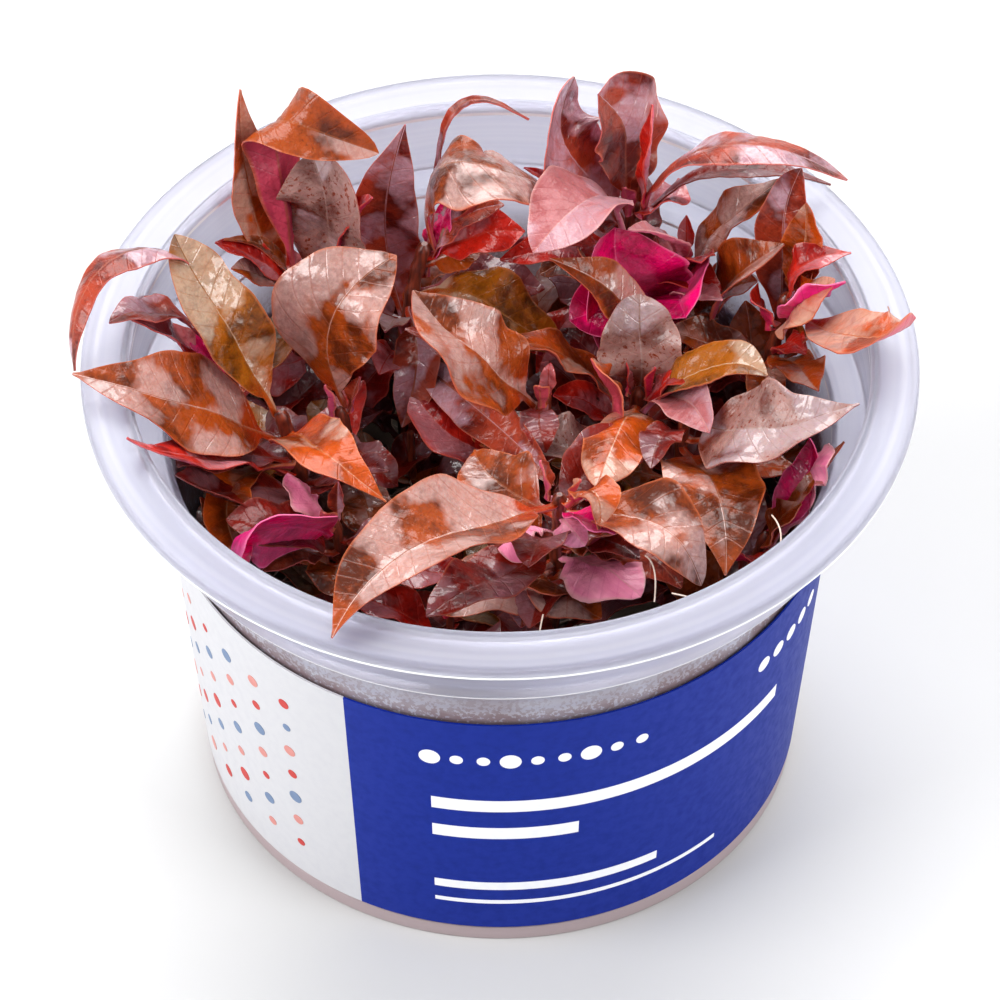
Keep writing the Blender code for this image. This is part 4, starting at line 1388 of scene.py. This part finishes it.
@dataclass(frozen=True)
class Label:
    """The wrap label: a thin film round the wall, a blue ground with one white panel, and plain motifs."""

    bottom: float = 2.8
    top: float = 44.0
    thickness: float = 0.25
    off: float = 0.35
    seam_deg: float = 16.0
    white_from_deg: float = -117.0
    white_to_deg: float = -27.0
    step_deg: float = 1.0
    ink_off: float = 0.04
    ink_in: float = -0.02
    stripes: tuple[Point, ...] = ((28.0, 2.2, 58.0), (22.5, 2.2, 14.0), (11.5, 1.5, 30.0), (8.2, 0.7, 44.0))
    stripes_from_deg: float = -12.0
    row_height: float = 37.0
    profile: CupProfile = CupProfile()

    def skin(self, angle_deg: float, height: float, out: float = 0.0) -> Point:
        """A point on the label's outer face, its angle counted from the front toward +X.

        Args:
            angle_deg: Degrees from the front.
            height: Height, in millimetres.
            out: How far proud of the face, in millimetres.

        Returns:
            The point, in millimetres.
        """
        turn = math.radians(angle_deg - 90.0)
        radius = self.profile.outside(height) + self.off + self.thickness + out
        return radius * math.cos(turn), radius * math.sin(turn), height

    def outward(self, angle_deg: float) -> np.ndarray:
        """The way the wall faces at an angle."""
        turn = math.radians(angle_deg - 90.0)
        facing = np.array([math.cos(turn), math.sin(turn), -self.profile.taper])
        return facing / np.linalg.norm(facing)

    def ground(self) -> bpy.types.Object:
        """The film itself, with a finish for each panel.

        Returns:
            The film, standing for its solid.
        """
        start = 0.5 * self.seam_deg - 180.0
        count = round((360.0 - self.seam_deg) / self.step_deg)
        heights = np.linspace(self.bottom, self.top, 9)
        angles = [start + step * self.step_deg for step in range(count + 1)]
        rings = []
        for angle in angles:
            outer = [self.skin(angle, height) for height in heights]
            inner = [self.skin(angle, height, -self.thickness) for height in reversed(heights)]
            rings.append(outer + inner)
        panels = []
        for angle in angles[:-1]:
            white = self.white_from_deg < angle + 0.5 * self.step_deg < self.white_to_deg
            panels.append((Panel.WHITE if white else Panel.BLUE).value)
        blue = FilmFinish("varnished_film_blue_ink", "03258C", "071E74").material()
        white = FilmFinish("varnished_film_white", "C9C9CD", "C3C3C9").material()
        return settle(loft("label_film", [rings], [blue, white], 40.0, panels), "label")

    def strips(self) -> bpy.types.Object:
        """The printed bands of the blue ground: four straight stripes of three widths and lengths.

        Returns:
            The printed strips.
        """
        runs = []
        for level, width, last in self.stripes:
            low, high = level - 0.5 * width, level + 0.5 * width
            edges = ((low, self.ink_off), (high, self.ink_off), (high, self.ink_in), (low, self.ink_in))
            angles = np.arange(self.stripes_from_deg, last + 0.01, self.step_deg)
            runs.append([[self.skin(angle, height, out) for height, out in edges] for angle in angles])
        ink = FilmFinish("white_ink_stripes", "F4F5FA", "E6E8F2").material()
        return settle(loft("label_stripes", runs, [ink], 0.0))

    def dots(self) -> list[bpy.types.Object]:
        """The printed dots: two rows on the blue ground, and a regular block of three inks on the white.

        Returns:
            The printed pieces, one for each ink.
        """
        start = self.stripes_from_deg
        rows = [(start + 4.6 * step, self.row_height, 0.8 if step % 3 else 1.3) for step in range(9)]
        rows += [(52.0 + 4.4 * step, self.row_height, 1.1) for step in range(5)]
        block = [[(-40.0 - 7.5 * column, 9.0 + 4.6 * line, 0.6 + 0.09 * ((column + 2 * line) % 5))
                  for column in range(6) for line in range(7) if (column + line) % 3 == ink]
                 for ink in range(3)]
        inks = (
            ("label_dots_white", rows, FilmFinish("white_ink_dots", "F4F5FA", "E6E8F2")),
            ("label_dots_red", block[0], FilmFinish("red_ink_dots", "BE3A38", "C85A50")),
            ("label_dots_rose", block[1], FilmFinish("rose_ink_dots", "CC8680", "D89A90")),
            ("label_dots_grey", block[2], FilmFinish("slate_ink_dots", "6C80A0", "8496B4")),
        )
        made = []
        for name, spots, finish in inks:
            points = [self.skin(angle, height) for angle, height, _ in spots]
            facings = [self.outward(angle) for angle, _, _ in spots]
            discs = Discs(name, points, facings, [size for _, _, size in spots], finish.material())
            made.append(settle(discs.build()))
        return made


def new_tree(name: str, **inputs: str) -> tuple[bpy.types.NodeTree, bpy.types.Node, bpy.types.Node]:
    """Start a Geometry Nodes tree with a geometry input and output and named inputs.

    Args:
        name: The tree's name.
        **inputs: Each further input's name and kind.

    Returns:
        The tree, its input node and its output node.
    """
    tree = bpy.data.node_groups.new(name, "GeometryNodeTree")
    for label, kind in {"Geometry": "Geometry", **inputs}.items():
        tree.interface.new_socket(label, in_out="INPUT", socket_type=f"NodeSocket{kind}")
    tree.interface.new_socket("Geometry", in_out="OUTPUT", socket_type="NodeSocketGeometry")
    return tree, add_node(tree, "NodeGroupInput"), add_node(tree, "NodeGroupOutput")


def grow(name: str, points: Iterable[Point], edges: Sequence[tuple[int, int]], fields: dict[str, Sequence],
         tree: bpy.types.NodeTree, values: dict[str, object]) -> bpy.types.Object:
    """Run a Geometry Nodes tree on loose points or lines, and keep the result as a plain mesh.

    Args:
        name: The object's name.
        points: The points, in millimetres.
        edges: Pairs of points joined by a line.
        fields: Attribute name to its number or its vector on each point.
        tree: The tree.
        values: The tree's input name to its value.

    Returns:
        The object with the result, linked to the scene.
    """
    guide = bpy.data.meshes.new(name)
    guide.from_pydata([tuple(np.asarray(point, float) * MM) for point in points], edges, [])
    for label, field in fields.items():
        numbers = np.asarray(field, np.float32)
        kind, part = ("FLOAT_VECTOR", "vector") if numbers.ndim == 2 else ("FLOAT", "value")
        guide.attributes.new(label, kind, "POINT").data.foreach_set(part, numbers.ravel())
    item = link(name, guide)
    modifier = item.modifiers.new("shape", "NODES")
    modifier.node_group = tree
    for socket in tree.interface.items_tree:
        if socket.name in values:
            modifier[socket.identifier] = values[socket.name]
    bpy.context.view_layer.update()
    evaluated = item.evaluated_get(bpy.context.evaluated_depsgraph_get())
    mesh = bpy.data.meshes.new_from_object(evaluated)
    item.modifiers.remove(modifier)
    bpy.data.objects.remove(item, do_unlink=True)
    mesh.name = name
    return link(name, mesh)


@dataclass(frozen=True)
class Discs:
    """Round spots of ink laid on a surface, by Geometry Nodes."""

    name: str
    points: Sequence[Point]
    facings: Sequence[np.ndarray]
    sizes: Sequence[float]
    material: bpy.types.Material
    sides: int = 28
    depth: float = 0.08

    @staticmethod
    def tree() -> bpy.types.NodeTree:
        """The tree: one thin disc on each point, turned to the surface and sized by the point.

        Returns:
            The tree.
        """
        tree, given, result = new_tree("ink_discs", Sides="Int", Depth="Float", Ink="Material")
        facing, size = (
            add_node(tree, "GeometryNodeInputNamedAttribute", {"Name": label}, data_type=kind)
            for label, kind in (("facing", "FLOAT_VECTOR"), ("size", "FLOAT"))
        )
        flat = add_node(tree, "ShaderNodeCombineXYZ", (size, size, 1.0))
        disc = add_node(tree, "GeometryNodeMeshCylinder", {
            "Vertices": given.outputs["Sides"], "Radius": MM, "Depth": given.outputs["Depth"],
        })
        turn = add_node(tree, "FunctionNodeAlignRotationToVector", {"Vector": facing}, axis="Z")
        spots = add_node(tree, "GeometryNodeInstanceOnPoints", {
            "Points": given, "Instance": disc, "Rotation": turn, "Scale": flat,
        })
        real = add_node(tree, "GeometryNodeRealizeInstances", (spots,))
        inked = add_node(tree, "GeometryNodeSetMaterial", {
            "Geometry": real, "Material": given.outputs["Ink"],
        })
        fill(tree, result, (inked,))
        return tree

    def build(self) -> bpy.types.Object:
        """Run the tree."""
        return grow(self.name, self.points, (), {"facing": self.facings, "size": self.sizes}, self.tree(),
                    {"Sides": self.sides, "Depth": self.depth * MM, "Ink": self.material})


@dataclass(frozen=True)
class Tubes:
    """Round shoots that follow paths, by Geometry Nodes: stems and roots."""

    name: str
    paths: Sequence[Sequence[np.ndarray]]
    radii: Sequence[Sequence[float]]
    material: bpy.types.Material
    sides: int = 12

    @staticmethod
    def tree() -> bpy.types.NodeTree:
        """The tree: a circle swept along each path, as thick as the path's own values say.

        Returns:
            The tree.
        """
        tree, given, result = new_tree("shoots_on_paths", Sides="Int", Skin="Material")
        width = add_node(tree, "GeometryNodeInputNamedAttribute", {"Name": "thickness"}, data_type="FLOAT")
        curve = add_node(tree, "GeometryNodeMeshToCurve", {"Mesh": given})
        section = add_node(tree, "GeometryNodeCurvePrimitiveCircle", {
            "Resolution": given.outputs["Sides"], "Radius": 1.0,
        })
        sized = add_node(tree, "GeometryNodeSetCurveRadius", {"Curve": curve, "Radius": width})
        swept = add_node(tree, "GeometryNodeCurveToMesh", {
            "Curve": sized, "Profile Curve": section, "Fill Caps": True, "Scale": width,
        })
        real = add_node(tree, "GeometryNodeRealizeInstances", (swept,))
        smooth = add_node(tree, "GeometryNodeSetShadeSmooth", {"Geometry": real})
        dressed = add_node(tree, "GeometryNodeSetMaterial", {
            "Geometry": smooth, "Material": given.outputs["Skin"],
        })
        fill(tree, result, (dressed,))
        return tree

    def build(self) -> bpy.types.Object:
        """Run the tree.

        Returns:
            The shoots, as one object.
        """
        points: list[np.ndarray] = []
        edges: list[tuple[int, int]] = []
        for path in self.paths:
            edges += [(first, first + 1) for first in range(len(points), len(points) + len(path) - 1)]
            points += path
        widths = [width * MM for row in self.radii for width in row]
        values = {"Sides": self.sides, "Skin": self.material}
        return grow(self.name, points, edges, {"thickness": widths}, self.tree(), values)


@dataclass(frozen=True)
class StemFinish:
    """A fleshy red-brown stem: lengthwise fibres give it fine streaks, and its damp skin a soft shine."""

    name: str = "damp_stem_skin"
    young: str = "8E3A22"
    old: str = "4A1A12"
    fibre_mm: float = 0.5

    def material(self) -> bpy.types.Material:
        """The stem's skin.

        Returns:
            The material.
        """
        skin = Surface(self.name, self.young)
        place = skin.add("ShaderNodeTexCoord").outputs["Object"]
        drawn = skin.add("ShaderNodeVectorMath", (place, (1.0, 1.0, 0.12)), operation="MULTIPLY")
        # Real fibres are finer. Half a millimetre is as coarse as they need to be to show.
        fibres = skin.add("ShaderNodeTexNoise", {
            "Vector": drawn, "Scale": 1.0 / (self.fibre_mm * MM), "Detail": 3.0,
        })
        skin.coat(skin.add("ShaderNodeMapRange", (fibres, 0.35, 0.65, 0.0, 1.0)), self.old)
        return skin.finish({
            "Normal": skin.add("ShaderNodeBump", {"Height": fibres, "Strength": 0.5, "Distance": 0.2 * MM}),
            "Roughness": 0.38, "Coat Weight": 0.3, "Coat Roughness": 0.15,
        })


@dataclass(frozen=True)
class Stems:
    """The fourteen stems, each swollen a little at its leaf joints, and the thin side shoots."""

    buried: float = 2.0
    steps: int = 48
    swell: float = 0.3
    swell_half: float = 0.9
    thin_top: float = 0.75
    tip: float = 0.5
    tip_share: float = 0.45
    side_steps: int = 12
    side_thinning: float = 0.03

    def course(self, name: str, stem: Stem) -> tuple[list[np.ndarray], list[float]]:
        """One stem's path from below the gel's face to its blunt tip, and its radii.

        Args:
            name: The stem's name.
            stem: The stem.

        Returns:
            The path's points and the radius at each.
        """
        path, radii = [], []
        for step in range(self.steps + 1):
            share = step / self.steps
            point = stem.at(share)
            nearest = min(abs(point[2] - leaf.node) for leaf in LEAVES[name])
            swell = 1.0 + self.swell * math.exp(-(nearest / self.swell_half) ** 2)
            path.append(point)
            radii.append(stem.radius * (1.0 + (self.thin_top - 1.0) * share) * swell)
        path = [path[0] - np.array([0.0, 0.0, self.buried]), *path, path[-1] + np.array([0.0, 0.0, self.tip])]
        return path, [radii[0], *radii, self.tip_share * radii[-1]]

    def build(self) -> list[bpy.types.Object]:
        """Sweep each stem, and the side shoots together.

        Returns:
            The stems, each standing for its solid, and the side shoots.
        """
        skin = StemFinish().material()
        made = []
        for name, stem in STEMS.items():
            path, radii = self.course(name, stem)
            shoot = Tubes(f"shoot_{name}", (path,), (radii,), skin).build()
            made.append(settle(shoot, f"stem_{name}"))
        steps = range(self.side_steps + 1)
        paths = [[stem.at(step / self.side_steps) for step in steps] for stem in SIDE_SHOOTS.values()]
        radii = [[stem.radius * (1.0 - self.side_thinning * step) for step in steps]
                 for stem in SIDE_SHOOTS.values()]
        made.append(settle(Tubes("side_shoots", paths, radii, skin).build()))
        return made


@dataclass(frozen=True)
class Roots:
    """Fine white roots that leave the stems near the gel and lie over it. Ranges are lowest and highest."""

    per_stem: int = 5
    steps: int = 14
    thick: float = 0.17
    sides: int = 7
    heights: Pair = (25.0, 36.0)
    end_height: float = 24.2
    wander: float = 0.45
    stride: Pair = (0.6, 1.3)
    clearance: float = 0.6
    thinning: float = 0.6
    loose_share: float = 0.6
    patch_mm: float = 1.5

    def material(self) -> bpy.types.Material:
        """Young root skin: white where it is fresh, in patches browner where it has aged.

        Returns:
            The material.
        """
        skin = Surface("root_skin_white", "EDE4DA")
        place = skin.add("ShaderNodeTexCoord").outputs["Object"]
        skin.coat(skin.add("ShaderNodeTexNoise", {
            "Vector": place, "Scale": 1.0 / (self.patch_mm * MM), "Detail": 3.0,
        }), "C9A48C")
        return skin.finish({"Roughness": 0.4})

    def path(self, stem: Stem, dice: random.Random) -> list[np.ndarray]:
        """One root, which wanders down to the gel and stays inside the wall.

        Args:
            stem: The stem that it leaves.
            dice: The roots' random numbers.

        Returns:
            The path's points.
        """
        height = dice.uniform(*self.heights)
        point = stem.at(stem.share_at(height))
        heading = dice.uniform(0.0, math.tau)
        drop = (height - self.end_height) / self.steps
        path = [point.copy()]
        for _ in range(self.steps):
            heading += dice.gauss(0.0, self.wander)
            stride = dice.uniform(*self.stride)
            point = point + np.array([stride * math.cos(heading), stride * math.sin(heading), -drop])
            out = math.hypot(point[0], point[1])
            wall = CupProfile().inside(point[2]) - self.clearance
            if out > wall:
                point[:2] *= wall / out
            path.append(point.copy())
        return path

    def build(self) -> bpy.types.Object:
        """Grow the roots' paths and sweep them.

        Returns:
            The roots, as one piece.
        """
        dice = random.Random(77)
        hosts = [stem for stem in (*STEMS.values(), *SIDE_SHOOTS.values()) for _ in range(self.per_stem)]
        steps = range(self.steps + 1)
        paths = [self.path(stem, dice) for stem in hosts]
        radii = [[self.thick * (1.0 - self.thinning * step / self.steps) for step in steps] for _ in hosts]
        for points in LOOSE_ROOTS:
            paths.append([Stem(*points).at(step / self.steps) for step in steps])
            radii.append([self.loose_share * self.thick] * len(steps))
        return settle(Tubes("roots", paths, radii, self.material(), self.sides).build())


@dataclass(frozen=True)
class Gel:
    """The pad of agar gel: cloudy, wet, and drawn a little up the wall."""

    top: float = 24.0
    gap: float = 0.12
    round_foot: float = 1.4
    meniscus: float = 0.7
    uneven: float = 0.25
    sides: int = 160
    cloud_mm: float = 5.0
    ripple_mm: float = 2.5
    profile: CupProfile = CupProfile()

    def material(self) -> bpy.types.Material:
        """Agar set with nutrients: fine particles give it a beige cloud, and its water a wet, rippled face.

        Returns:
            The material.
        """
        gel = Surface("agar_gel", "B8A698")
        place = gel.add("ShaderNodeTexCoord").outputs["Object"]
        cloud, ripple = (
            gel.add("ShaderNodeTexNoise", {"Vector": place, "Scale": 1.0 / (size * MM), "Detail": 3.0})
            for size in (self.cloud_mm, self.ripple_mm)
        )
        gel.coat(cloud, "7C6656")
        return gel.finish({
            "Normal": gel.add("ShaderNodeBump", {"Height": ripple, "Strength": 0.4, "Distance": 0.4 * MM}),
            "Transmission Weight": 0.45, "IOR": 1.34, "Roughness": 0.3,
        })

    def rows(self) -> list[Pair]:
        """Radius and height along the pad's skin, from its underside up the wall to the middle of its face.

        Returns:
            The points, in millimetres.
        """
        low = self.profile.floor + self.gap
        heights = (low + self.round_foot, *np.linspace(4.0, self.top, 8))
        edge = self.profile.inside(self.top) - self.gap
        rows = [(self.profile.inside(low) - self.gap - self.round_foot, low)]
        rows += [(self.profile.inside(height) - self.gap, height) for height in heights]
        rows.append((edge - 0.1, self.top + self.meniscus))
        for step in (0.4, 0.9, 1.6, 2.6):
            rows.append((edge - step, self.top + self.meniscus * math.exp(-1.4 * step)))
        return rows + [(radius, self.top) for radius in np.linspace(edge - 5.0, 1.0, 16)]

    def build(self) -> bpy.types.Object:
        """Turn the pad, with a low meniscus at the wall and a gently uneven face.

        Returns:
            The gel, standing for its solid.
        """
        face_edge = self.profile.inside(self.top) - self.gap - 3.0
        rings = []
        for radius, height in self.rows():
            ring = []
            for x, y, _ in circle(radius, height, self.sides):
                turn = math.atan2(y, x)
                swell = math.sin(0.5 * radius + 3.0 * turn) * math.sin(2.0 * turn + 0.23 * radius)
                rise = self.uneven * swell
                on_face = height >= self.top - 0.01 and radius < face_edge
                ring.append((x, y, height + rise if on_face else height))
            rings.append(ring)
        return settle(loft("gel_pad", [rings], [self.material()], 180.0), "gel")


@dataclass(frozen=True)
class SoftBox:
    """One large soft light, aimed at the plant."""

    name: str
    place: Point
    width: float
    height: float
    power: float


@dataclass(frozen=True)
class Studio:
    """A pale table, soft lights and the camera, in metres."""

    boxes: tuple[SoftBox, ...] = (
        SoftBox("fill_left", (-0.62, -0.22, 0.52), 0.46, 0.5, 5.6),
        SoftBox("fill_right", (0.60, -0.34, 0.50), 0.34, 0.45, 3.3),
    )
    key_from: Point = (0.03, 0.50, 0.62)
    key_strength: float = 3.4
    key_spread_deg: float = 54.0
    sky: float = 0.52
    cove: float = 1.0
    table_half: float = 12.0
    table_grey: float = 0.6
    aim: Point = (0.0, 0.0, 0.0394)
    eye: Point = (0.0, -0.4597, 0.5279)
    lens: float = 197.04
    sensor: float = 36.0

    def build(self) -> None:
        """Set the table, the lights, the sky and the camera."""
        self.table()
        key = bpy.data.lights.new("key_behind", "SUN")
        key.energy, key.angle = self.key_strength, math.radians(self.key_spread_deg)
        self.hang(key, self.key_from)
        for box in self.boxes:
            lamp = bpy.data.lights.new(box.name, "AREA")
            lamp.shape = "RECTANGLE"
            lamp.size, lamp.size_y, lamp.energy = box.width, box.height, box.power
            self.hang(lamp, box.place)
        self.surroundings()
        bpy.context.scene.view_settings.view_transform = "Standard"
        camera = bpy.data.cameras.new("camera")
        camera.lens, camera.sensor_width = self.lens, self.sensor
        camera.clip_start, camera.clip_end = 0.05, 10.0
        bpy.context.scene.camera = self.hang(camera, self.eye)

    def table(self) -> None:
        """The plain pale table top, matt as painted board."""
        half = self.table_half
        mesh = bpy.data.meshes.new("table_top")
        corners = [(-half, -half, 0.0), (half, -half, 0.0), (half, half, 0.0), (-half, half, 0.0)]
        mesh.from_pydata(corners, [], [(0, 1, 2, 3)])
        material = bpy.data.materials.new("matt_white_table")
        material.use_nodes = True
        tree = material.node_tree
        grey = (self.table_grey, self.table_grey, self.table_grey, 1.0)
        fill(tree, tree.nodes["Principled BSDF"], {"Base Color": grey, "Roughness": 0.9})
        mesh.materials.append(material)
        link("table_top", mesh)

    def surroundings(self) -> None:
        """The white room: its walls are brighter than its ceiling."""
        world = bpy.data.worlds.new("pale_studio")
        bpy.context.scene.world = world
        world.use_nodes = True
        tree = world.node_tree
        facing = add_node(tree, "ShaderNodeSeparateXYZ", (add_node(tree, "ShaderNodeTexCoord"),))
        glow = add_node(tree, "ShaderNodeMapRange", (facing.outputs["Z"], 0.16, 0.3, self.cove, self.sky))
        fill(tree, tree.nodes["Background"], {"Color": from_hex("FFFFFF"), "Strength": glow})

    def hang(self, data: bpy.types.Light | bpy.types.Camera, place: Point) -> bpy.types.Object:
        """Put a light or the camera in its place, turned to the plant."""
        item = bpy.data.objects.new(data.name, data)
        item.location = place
        item.rotation_euler = (Vector(self.aim) - Vector(place)).to_track_quat("-Z", "Y").to_euler()
        bpy.context.scene.collection.objects.link(item)
        return item


def main() -> None:
    """Build the object and its studio."""
    logging.basicConfig(level=logging.INFO, format="%(message)s")
    Studio().build()
    label = Label()
    foliage = Foliage()
    pieces = [Cup().build(), label.ground(), label.strips(), *label.dots(), Gel().build(), Roots().build()]
    pieces += Stems().build()
    pieces += foliage.big_leaves()
    pieces += foliage.small_leaves()
    for piece in pieces:
        log.info("%s: %d faces", piece.name, len(piece.data.polygons))


if __name__ == "__main__":
    main()
